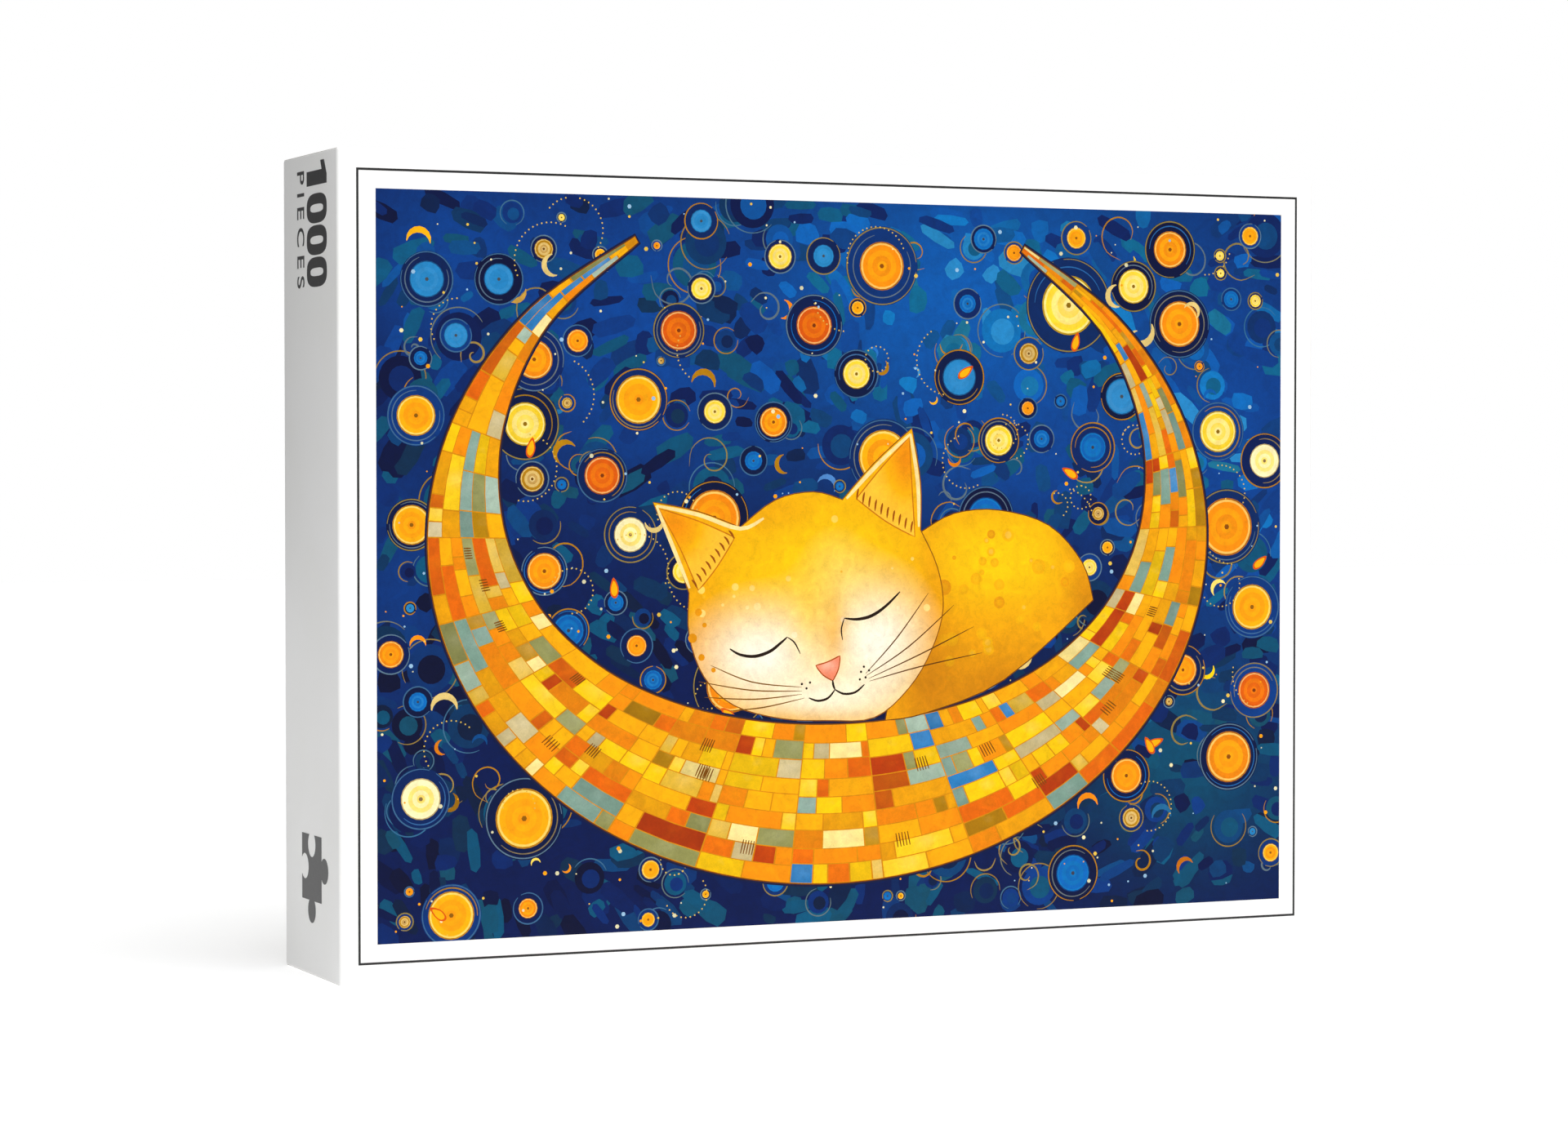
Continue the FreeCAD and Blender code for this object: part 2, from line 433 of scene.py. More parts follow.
@dataclass(frozen=True)
class CutPuzzleBoard:
    """Die-cut puzzle board: a printed picture side, grey-blue backing and grey pressed edges."""

    name: str = "die_cut_puzzle_board"
    attribute: str = "Print"
    fleck_mm: float = 1.4

    def material(self) -> bpy.types.Material:
        """Makes the finish as a node material.

        Returns:
            The material.
        """
        material, tree, skin = new_material(self.name)
        place = add_node(tree, "ShaderNodeTexCoord").outputs["Object"]
        ink = add_node(tree, "ShaderNodeVertexColor", layer_name=self.attribute)
        flecks = add_node(
            tree, "ShaderNodeTexNoise", {"Vector": place, "Scale": per_metre(self.fleck_mm), "Detail": 5.0}
        )
        light = add_node(
            tree,
            "ShaderNodeMapRange",
            {"Value": flecks.outputs[0], "From Min": 0.3, "From Max": 0.7, "To Min": 0.75, "To Max": 1.2},
        )
        toned = add_node(
            tree, "ShaderNodeHueSaturation", {"Color": ink.outputs[0], "Value": light.outputs[0]}
        )
        bump = add_node(
            tree, "ShaderNodeBump", {"Strength": 0.3, "Distance": 0.05 * MM, "Height": flecks.outputs[0]}
        )
        tree.links.new(toned.outputs[0], skin.inputs["Base Color"])
        tree.links.new(bump.outputs[0], skin.inputs["Normal"])
        skin.inputs["Roughness"].default_value = 0.55
        return material


@dataclass(frozen=True)
class StudioPaper:
    """Matt white studio paper, so pale that only contact shadows show on it."""

    name: str = "white_studio_paper"
    tone: str = "#FAFAFA"
    shade: str = "#F6F6F6"
    cloud_mm: float = 400.0

    def material(self) -> bpy.types.Material:
        """Makes the finish as a node material.

        Returns:
            The material.
        """
        material, tree, skin = new_material(self.name)
        place = add_node(tree, "ShaderNodeTexCoord").outputs["Object"]
        clouds = add_node(tree, "ShaderNodeTexNoise", {"Vector": place, "Scale": per_metre(self.cloud_mm)})
        stops = ((0.4, self.shade), (0.6, self.tone))
        tones = add_node(tree, "ShaderNodeValToRGB", {0: clouds.outputs[0]}, stops)
        tree.links.new(tones.outputs[0], skin.inputs["Base Color"])
        skin.inputs["Roughness"].default_value = 0.9
        skin.inputs["Specular IOR Level"].default_value = 0.1
        return material


# ---- modelling ------------------------------------------------------------------------------------------


def activate(piece: bpy.types.Object) -> None:
    """Selects only this piece and makes it the active one.

    Args:
        piece: the piece.
    """
    bpy.ops.object.select_all(action="DESELECT")
    piece.select_set(True)
    bpy.context.view_layer.objects.active = piece


@contextmanager
def shaping(piece: bpy.types.Object) -> Iterator[None]:
    """Edit mode on one piece, left again at the end.

    Args:
        piece: the mesh piece to shape.

    Yields:
        Nothing; the piece is in edit mode meanwhile.
    """
    activate(piece)
    bpy.ops.object.mode_set(mode="EDIT")
    yield
    bpy.ops.object.mode_set(mode="OBJECT")


def select_edges(piece: bpy.types.Object, wanted: Callable[[bmesh.types.BMEdge], bool]) -> None:
    """In edit mode, selects exactly the edges that are wanted.

    Args:
        piece: the piece that is being shaped.
        wanted: says for an edge whether it is selected.
    """
    bpy.ops.mesh.select_mode(type="EDGE")
    bpy.ops.mesh.select_all(action="DESELECT")
    mesh = bmesh.from_edit_mesh(piece.data)
    for edge in [edge for edge in mesh.edges if wanted(edge)]:
        edge.select_set(True)
    bmesh.update_edit_mesh(piece.data)


def select_faces(piece: bpy.types.Object, wanted: Callable[[bmesh.types.BMFace], bool]) -> None:
    """In edit mode, selects exactly the faces that are wanted.

    Args:
        piece: the piece that is being shaped.
        wanted: says for a face whether it is selected.
    """
    bpy.ops.mesh.select_mode(type="FACE")
    bpy.ops.mesh.select_all(action="DESELECT")
    mesh = bmesh.from_edit_mesh(piece.data)
    for face in [face for face in mesh.faces if wanted(face)]:
        face.select_set(True)
    bmesh.update_edit_mesh(piece.data)


def block(name: str, low: Vector, high: Vector) -> bpy.types.Object:
    """A block between two corners, as a start for shaping.

    Args:
        name: the piece's name.
        low: its lowest corner, in metres.
        high: its highest corner.

    Returns:
        The piece, at the origin, with its place in its mesh.
    """
    bpy.ops.object.select_all(action="DESELECT")
    bpy.ops.mesh.primitive_cube_add(size=1, location=(low + high) / 2)
    piece = bpy.context.object
    piece.name = name
    piece.scale = high - low
    bpy.ops.object.transform_apply(location=True, rotation=True, scale=True)
    return piece


def cad_copy(node: str, name: str) -> bpy.types.Object:
    """A copy of a CAD node for further shaping, its loose triangles merged back into whole faces.

    Args:
        node: the node's name.
        name: the new piece's name.

    Returns:
        The copy.
    """
    piece = bpy.data.objects.new(name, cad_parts[node].data.copy())
    bpy.context.scene.collection.objects.link(piece)
    piece.data.materials.clear()
    with shaping(piece):
        bpy.ops.mesh.select_all(action="SELECT")
        bpy.ops.mesh.remove_doubles(threshold=0.002 * MM)
        bpy.ops.mesh.dissolve_limited(angle_limit=math.radians(1))
    return piece


def finish(
    piece: bpy.types.Object,
    material: bpy.types.Material,
    body: str,
    nodes: Sequence[str] = (),
    angle: float = 35.0,
) -> bpy.types.Object:
    """Smooths, dresses and places a finished piece.

    Args:
        piece: the mesh piece.
        material: its finish.
        body: the body that it rides on.
        nodes: the CAD nodes that it stands for.
        angle: faces that meet under this angle, in degrees, shade as one surface.

    Returns:
        The piece.
    """
    activate(piece)
    bpy.ops.object.shade_smooth_by_angle(angle=math.radians(angle))
    piece.data.materials.clear()
    piece.data.materials.append(material)
    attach(piece, body)
    if nodes:
        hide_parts(*nodes)
    log.info("%s: %d faces on %s", piece.name, len(piece.data.polygons), body)
    return piece


def thicken(piece: bpy.types.Object, thickness: float, offset: float = -1.0) -> None:
    """Gives an open sheet its thickness.

    Args:
        piece: the sheet.
        thickness: in metres.
        offset: where it goes, from -1, behind the sheet's face, to 1, in front of it.
    """
    activate(piece)
    wall = piece.modifiers.new("paper", "SOLIDIFY")
    wall.thickness = thickness
    wall.offset = offset
    wall.use_even_offset = True
    bpy.ops.object.modifier_apply(modifier=wall.name)


# ---- the boxes ------------------------------------------------------------------------------------------


@dataclass
class BoardBox:
    """One half of the rigid box: a folded greyboard shell, its corner stays and the paper round it."""

    name: str
    mouth: Mouth
    paper: bpy.types.Material
    paper_slot: str
    board: bpy.types.Material
    tape: bpy.types.Material
    edge_round: float = 1.0 * MM  # how round the wrapped edges are
    rim_round: float = 0.35 * MM  # how sharply the paper turns over the rim
    sheet: float = 0.15 * MM
    tape_thickness: float = 0.1 * MM
    turn_in: float = 15.0 * MM
    low: Vector = field(init=False)
    high: Vector = field(init=False)
    wall: float = field(init=False)

    def __post_init__(self) -> None:
        """Takes the outside and the wall's thickness from the frame."""
        boxes = [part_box(f"{self.name}_wrap_{part}") for part in ("panel", "left", "right", "bottom", "top")]
        self.low = Vector([min(b[0][axis] for b in boxes) for axis in range(3)])
        self.high = Vector([max(b[1][axis] for b in boxes) for axis in range(3)])
        side_low, side_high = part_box(f"{self.name}_wrap_left")
        self.wall = side_high.x - side_low.x

    @property
    def middle(self) -> Vector:
        """The middle of the box."""
        return (self.low + self.high) / 2

    def on_corner(self, point: Vector, inset: float) -> bool:
        """Whether a point lies on one of the four corner lines along Y.

        Args:
            point: the point, in metres.
            inset: how far the lines lie inside the outer corners.

        Returns:
            True if it does.
        """
        half = (self.high - self.low) / 2
        away = point - self.middle
        near = 0.02 * MM
        return abs(abs(away.x) - half.x + inset) < near and abs(abs(away.z) - half.z + inset) < near

    def at_panel(self, point: Vector) -> bool:
        """Whether a point lies at the panel's end of the box, where the wrap's edges are round."""
        panel_y = self.low.y if self.mouth is Mouth.BACK else self.high.y
        return abs(point.y - panel_y) < self.wall + 0.1 * MM

    def make_wrap(self) -> bpy.types.Object:
        """The wrapping paper: one sheet over the panel, down the sides, round the rim and into the mouth.

        Returns:
            The piece.
        """
        piece = block(f"{self.name}_wrap", self.low, self.high)
        out = self.mouth.value
        inner = [1 - 2 * self.wall / (self.high[axis] - self.low[axis]) for axis in range(3)]
        with shaping(piece):
            select_faces(piece, lambda face: face.normal.y * out > 0.9)
            bpy.ops.mesh.delete(type="FACE")
            select_edges(piece, lambda edge: not edge.is_boundary)
            bpy.ops.mesh.bevel(offset=self.edge_round, segments=4, affect="EDGES")
            select_edges(piece, lambda edge: edge.is_boundary)
            bpy.ops.mesh.extrude_edges_move()
            bpy.ops.transform.resize(value=(inner[0], 1, inner[2]), center_override=self.middle)
            bpy.ops.mesh.extrude_edges_move()
            bpy.ops.transform.translate(value=(0, -out * self.turn_in, 0))
            rim_y = self.high.y if out > 0 else self.low.y

            def folds_at_rim(edge: bmesh.types.BMEdge) -> bool:
                """Whether the paper turns sharply over the rim at this edge."""
                on_rim = all(abs(v.co.y - rim_y) < 1e-6 for v in edge.verts)
                return on_rim and len(edge.link_faces) == 2 and edge.calc_face_angle(0) > 1.0

            select_edges(piece, folds_at_rim)
            bpy.ops.mesh.bevel(offset=self.rim_round, segments=3, affect="EDGES")
        thicken(piece, self.sheet)
        nodes = [f"{self.name}_wrap_{part}" for part in ("panel", "left", "right", "bottom", "top")]
        return finish(piece, self.paper, self.name, nodes)

    def make_board(self) -> bpy.types.Object:
        """The greyboard shell, its outer edges pressed round by the wrap.

        Returns:
            The piece.
        """
        node = f"{self.name}_board"
        piece = cad_copy(node, f"{self.name}_greyboard")
        low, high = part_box(node)
        panel_y = low.y if self.mouth is Mouth.BACK else high.y

        def outer(edge: bmesh.types.BMEdge) -> bool:
            """Whether an edge is one of the four sharp ones round the panel.

            Args:
                edge: the edge.

            Returns:
                True if it is.
            """
            first, last = (v.co for v in edge.verts)
            on_panel = abs(first.y - panel_y) < 1e-5 and abs(last.y - panel_y) < 1e-5
            return on_panel and edge.is_manifold and edge.calc_face_angle(0) > 1.0

        with shaping(piece):
            select_edges(piece, outer)
            bpy.ops.mesh.bevel(offset=self.edge_round - self.sheet, segments=3, affect="EDGES")
        return finish(piece, self.board, self.name, [node], angle=40)

    def make_stays(self) -> list[bpy.types.Object]:
        """The four kraft tapes that hold the corners together, each folded round its corner.

        Returns:
            The four pieces.
        """
        stays = []
        for height in ("lower", "upper"):
            for side in ("left", "right"):
                node = f"{self.name}_corner_stay_{height}_{side}"
                piece = cad_copy(node, f"{self.name}_stay_{height}_{side}")
                for inset in (self.sheet + self.tape_thickness, self.sheet):
                    with shaping(piece):
                        select_edges(piece, lambda edge: all(self.on_corner(v.co, inset) for v in edge.verts))
                        bpy.ops.mesh.bevel(offset=self.edge_round - inset, segments=4, affect="EDGES")
                with shaping(piece):
                    select_faces(piece, lambda face: all(self.at_panel(v.co) for v in face.verts))
                    bpy.ops.transform.translate(value=(0, self.mouth.value * self.edge_round, 0))
                stays.append(finish(piece, self.tape, self.name, [node]))
        return stays

    def build(self) -> None:
        """Builds the board, the stays and the wrap."""
        self.make_board()
        self.make_stays()
        self.make_wrap()


# ---- flat print: outlines and inks ----------------------------------------------------------------------


def circle(x: float, z: float, radius: float, sides: int = 0) -> Outline:
    """A disc's outline.

    Args:
        x: its middle's place along X, in millimetres.
        z: its middle's height.
        radius: its radius.
        sides: how many sides it has, or 0 for as many as its size needs.

    Returns:
        Its corners.
    """
    count = sides or max(8, min(36, int(8 + radius * 2.2)))
    turn = 2 * math.pi / count
    return [(x + radius * math.cos(n * turn), z + radius * math.sin(n * turn)) for n in range(count)]


def curve(points: Sequence[Point], steps: int = 4, closed: bool = False) -> Outline:
    """A smooth line through points, as short straight steps.

    Args:
        points: the points that it passes through.
        steps: how many steps lie between two points.
        closed: whether it returns to its first point.

    Returns:
        The line's points; a closed line doesn't repeat its first.
    """
    count = len(points)
    line = []
    for n in range(count if closed else count - 1):
        if closed:
            four = [points[(n + k) % count] for k in (-1, 0, 1, 2)]
        else:
            four = [points[min(max(n + k, 0), count - 1)] for k in (-1, 0, 1, 2)]
        for step in range(steps):
            t = step / steps
            weights = (
                (-t + 2 * t**2 - t**3) / 2,
                (2 - 5 * t**2 + 3 * t**3) / 2,
                (t + 4 * t**2 - 3 * t**3) / 2,
                (-(t**2) + t**3) / 2,
            )
            line.append(tuple(sum(w * p[axis] for w, p in zip(weights, four)) for axis in (0, 1)))
    if not closed:
        line.append(tuple(points[-1]))
    return line


def outline_of(*runs: Sequence[Point], steps: int = 4) -> Outline:
    """A closed outline of smooth runs that meet in corners.

    Args:
        runs: the points of each run, which starts where the last one ended.
        steps: how many steps lie between two points.

    Returns:
        The outline.
    """
    line = []
    for run in runs:
        line.extend(curve(run, steps)[:-1])
    return line


def stroke(points: Sequence[Point], width: float, steps: int = 4, ends: float = 0.15) -> Outline:
    """A brush stroke along a smooth line, full in its middle and thinner at its ends.

    Args:
        points: the points that it passes through.
        width: its full width, in millimetres.
        steps: how many steps lie between two points.
        ends: its width at the ends, as a share of the full width.

    Returns:
        Its outline.
    """
    line = curve(points, steps)
    left, right = [], []
    last = len(line) - 1
    for n, (x, z) in enumerate(line):
        ahead, behind = line[min(n + 1, last)], line[max(n - 1, 0)]
        dx, dz = ahead[0] - behind[0], ahead[1] - behind[1]
        length = math.hypot(dx, dz) or 1.0
        share = ends + (1 - ends) * abs(math.sin(math.pi * n / last)) ** 0.7
        half = width * share / 2
        left.append((x - dz / length * half, z + dx / length * half))
        right.append((x + dz / length * half, z - dx / length * half))
    return left + right[::-1]


def turned_step(step: Point, angle: float, place: Point) -> Point:
    """Where a step from a place ends when it is turned.

    Args:
        step: the step before it is turned, in millimetres.
        angle: how far it is turned anticlockwise, in radians.
        place: where it starts.

    Returns:
        Where it ends.
    """
    (u, v), (x, z) = step, place
    return x + u * math.cos(angle) - v * math.sin(angle), z + u * math.sin(angle) + v * math.cos(angle)


def arc(x: float, z: float, radius: float, start: float, sweep: float, count: int = 0) -> Outline:
    """Points on an arc.

    Args:
        x: its centre's place along X, in millimetres.
        z: its centre's height.
        radius: its radius.
        start: the angle that it starts at, in degrees.
        sweep: the angle that it covers.
        count: how many points it has, or 0 for as many as its length needs.

    Returns:
        The points.
    """
    count = count or max(5, int(abs(sweep) * radius / 160) + 5)
    angles = [math.radians(start + sweep * n / (count - 1)) for n in range(count)]
    return [(x + radius * math.cos(angle), z + radius * math.sin(angle)) for angle in angles]


@dataclass(frozen=True)
class Glow:
    """A soft spot of another tone in an ink.

    x, z, wide and high are in millimetres, and most is how much of the tone shows in its middle.
    """

    x: float
    z: float
    wide: float
    high: float
    tone: str
    most: float = 1.0


@dataclass(frozen=True)
class Ink:
    """A flat shape of one tone, laid over those before it, with any soft glows in it."""

    outline: Outline
    tone: str
    glows: tuple[Glow, ...] = ()

    def colours(self, places: np.ndarray) -> np.ndarray:
        """The ink's colours with its glows in them.

        Args:
            places: the places to colour, one row each.

        Returns:
            The linear colours, one row each.
        """
        made = np.tile(np.array(colour(self.tone)), (len(places), 1))
        for glow in self.glows:
            away = ((places[:, 0] - glow.x) / glow.wide) ** 2 + ((places[:, 1] - glow.z) / glow.high) ** 2
            share = (glow.most * np.exp(-away))[:, None]
            made = made * (1 - share) + np.array(colour(glow.tone)) * share
        return made


def inside(places: np.ndarray, outline: Outline) -> np.ndarray:
    """Which places lie inside an outline, by counting its crossings.

    Args:
        places: the places, one row each.
        outline: the closed outline.

    Returns:
        True or False for each place.
    """
    within = np.zeros(len(places), bool)
    for (ax, az), (bx, bz) in zip(outline, outline[1:] + outline[:1]):
        if az == bz:
            continue
        spans = (places[:, 1] < az) != (places[:, 1] < bz)
        within ^= spans & (places[:, 0] < ax + (places[:, 1] - az) * (bx - ax) / (bz - az))
    return within


def mixed(first: str, second: str, share: float) -> str:
    """A colour between two.

    Args:
        first: the hex colour for a share of 0.
        second: the hex colour for a share of 1.
        share: how far it is from the first to the second.

    Returns:
        Its hex code.
    """
    parts = [
        round(int(first[i : i + 2], 16) * (1 - share) + int(second[i : i + 2], 16) * share) for i in (1, 3, 5)
    ]
    return "#" + "".join(f"{min(255, max(0, part)):02X}" for part in parts)


@dataclass
class PrintedSheet:
    """Inks pressed onto one flat closed film that stands a hair proud of the paper.

    to_face turns a place (x, z, 0) in millimetres on the print into metres in the frame, and its third
    column points out of the face.
    """

    name: str
    inks: Sequence[Ink]
    to_face: Matrix
    ground: Outline | None = None  # the whole print's outline; without it only the inks themselves are there
    extra: Sequence[Point] = ()  # more places for soft glows to follow
    proud: float = 0.05 * MM
    sunk: float = 0.05 * MM
    cell: float = 26.0  # few inks are laid out at a time, which is much quicker than all at once
    attribute: str = "Print"

    def spread(self) -> tuple[np.ndarray, np.ndarray]:
        """The lowest and the highest corner of the print."""
        places = np.array(self.ground or [place for ink in self.inks for place in ink.outline])
        return places.min(axis=0), places.max(axis=0)

    def owners(self, places: np.ndarray, numbers: Sequence[int]) -> np.ndarray:
        """Finds the topmost ink at each place.

        Args:
            places: the places, one row each.
            numbers: the inks to look at, in the order that they are laid.

        Returns:
            The ink's number for each place, or -1 where there is none or a hole.
        """
        owner = np.full(len(places), -1)
        for number in numbers:
            ink = self.inks[number]
            owner[inside(places, ink.outline)] = number if ink.tone != HOLE else -1
        return owner

    def lay_cell(self, low: np.ndarray, high: np.ndarray, numbers: Sequence[int]) -> tuple[np.ndarray, ...]:
        """Lays out the inks in one square cell as triangles.

        Args:
            low: the cell's lowest corner.
            high: its highest corner.
            numbers: the inks that may reach into it.

        Returns:
            The triangles' corners, three rows each, and their colours.
        """
        rim = [(low[0], low[1]), (high[0], low[1]), (high[0], high[1]), (low[0], high[1])]
        points, edges = [], []
        for outline in [self.inks[number].outline for number in numbers] + [rim]:
            first = len(points)
            points.extend(Vector(place) for place in outline)
            edges.extend((first + n, first + (n + 1) % len(outline)) for n in range(len(outline)))
        extra = [place for place in self.extra if low[0] < place[0] < high[0] and low[1] < place[1] < high[1]]
        points.extend(Vector(place) for place in extra)
        made = delaunay_2d_cdt(points, edges, [], 0, 1e-4, False)
        places = np.array([tuple(v) for v in made[0]])
        triangles = np.array(made[2])
        middles = places[triangles].mean(axis=1)
        triangles = triangles[((middles > low) & (middles < high)).all(axis=1)]
        owner = self.owners(places[triangles].mean(axis=1), numbers)
        triangles, owner = triangles[owner >= 0], owner[owner >= 0]
        first, second, third = (places[triangles[:, n]] for n in range(3))
        turned = np.cross(second - first, third - first) < 0
        triangles[turned] = triangles[turned][:, ::-1]
        corners = places[triangles.ravel()]
        colours = np.empty((len(corners), 4))
        for number in np.unique(owner):
            mine = np.repeat(owner == number, 3)
            colours[mine] = self.inks[number].colours(corners[mine])
        return corners, colours

    def make(self) -> bpy.types.Object:
        """Lays the inks out cell by cell, colours their corners and gives the film its thickness.

        Returns:
            The piece.
        """
        low, high = self.spread()
        boxes = np.array([(*np.min(ink.outline, axis=0), *np.max(ink.outline, axis=0)) for ink in self.inks])
        counts = np.ceil((high - low) / self.cell).astype(int)
        size = (high - low) / counts
        laid = []
        for column in range(counts[0]):
            for row in range(counts[1]):
                corner = low + size * (column, row)
                end = low + size * (column + 1, row + 1)
                near = (boxes[:, :2] < end).all(axis=1) & (boxes[:, 2:] > corner).all(axis=1)
                laid.append(self.lay_cell(corner, end, np.flatnonzero(near)))
        corners = np.concatenate([cell[0] for cell in laid])
        colours = np.concatenate([cell[1] for cell in laid])
        mesh = bpy.data.meshes.new(self.name)
        places = np.column_stack([corners, np.full(len(corners), self.proud / MM)])
        mesh.from_pydata(places.tolist(), [], np.arange(len(corners)).reshape(-1, 3).tolist())
        printed = mesh.color_attributes.new(self.attribute, "FLOAT_COLOR", "CORNER")
        printed.data.foreach_set("color", colours.ravel())
        piece = bpy.data.objects.new(self.name, mesh)
        bpy.context.scene.collection.objects.link(piece)
        self.close(piece)
        self.unfold(piece)
        mesh.transform(self.to_face)
        return piece

    def close(self, piece: bpy.types.Object) -> None:
        """Turns the flat film into a closed one.

        Args:
            piece: the film.
        """
        low, high = self.spread()

        def on_rim(edge: bmesh.types.BMEdge) -> bool:
            """Whether both ends of an edge lie on the same side of the print's rectangle.

            Args:
                edge: the edge.

            Returns:
                True if they do.
            """
            ends = [vert.co for vert in edge.verts]
            sides = [abs(e.x - x) < 0.01 for x in (low[0], high[0]) for e in ends]
            sides += [abs(e.y - z) < 0.01 for z in (low[1], high[1]) for e in ends]
            return any(a and b for a, b in zip(sides[::2], sides[1::2]))

        with shaping(piece):
            bpy.ops.mesh.select_all(action="SELECT")
            bpy.ops.mesh.remove_doubles(threshold=0.0005)
            select_edges(piece, lambda edge: edge.is_boundary and (not self.ground or on_rim(edge)))
            bpy.ops.mesh.extrude_edges_move()
            bpy.ops.transform.translate(value=(0, 0, -(self.proud + self.sunk) / MM))
            bpy.ops.mesh.fill(use_beauty=False)
            bpy.ops.mesh.select_all(action="SELECT")
            bpy.ops.mesh.normals_make_consistent(inside=False)

    def unfold(self, piece: bpy.types.Object) -> None:
        """Gives the film a flat layout that fills a bake: the print below, its hidden back in a thin strip.

        Args:
            piece: the closed film.
        """
        mesh = piece.data
        layout = mesh.uv_layers.new(name="OFBake")
        low, high = self.spread()
        corner_of = np.empty(len(mesh.loops), np.int64)
        mesh.loops.foreach_get("vertex_index", corner_of)
        spots = np.empty(len(mesh.vertices) * 3)
        mesh.vertices.foreach_get("co", spots)
        shares = ((spots.reshape(-1, 3)[:, :2] - low) / (high - low))[corner_of]
        normals = np.empty(len(mesh.polygons) * 3)
        mesh.polygons.foreach_get("normal", normals)
        sizes = np.empty(len(mesh.polygons), np.int64)
        mesh.polygons.foreach_get("loop_total", sizes)
        printed = np.repeat(normals.reshape(-1, 3)[:, 2] > 0.5, sizes)
        shares[:, 1] = np.where(printed, shares[:, 1] * 0.97, 0.98 + shares[:, 1] * 0.02)
        layout.data.foreach_set("uv", shares.ravel())


# ---- the painting ---------------------------------------------------------------------------------------


class Night(Enum):
    """The night sky's blues, from its deepest to its brightest."""

    INK = "#0B102E"
    DEEP = "#101C4A"
    NAVY = "#152C66"
    ROYAL = "#1E448A"
    SKY = "#2F66B2"
    TEAL = "#2A6478"
    MIST = "#4B8BC0"


class Gold(Enum):
    """The painting's warm tones."""

    CREAM = "#FFF3C2"
    LEMON = "#FFD95A"
    AMBER = "#FFB020"
    ORANGE = "#F98A12"
    RUST = "#D9540F"
    OCHRE = "#B07A22"
    BROWN = "#6E3D14"


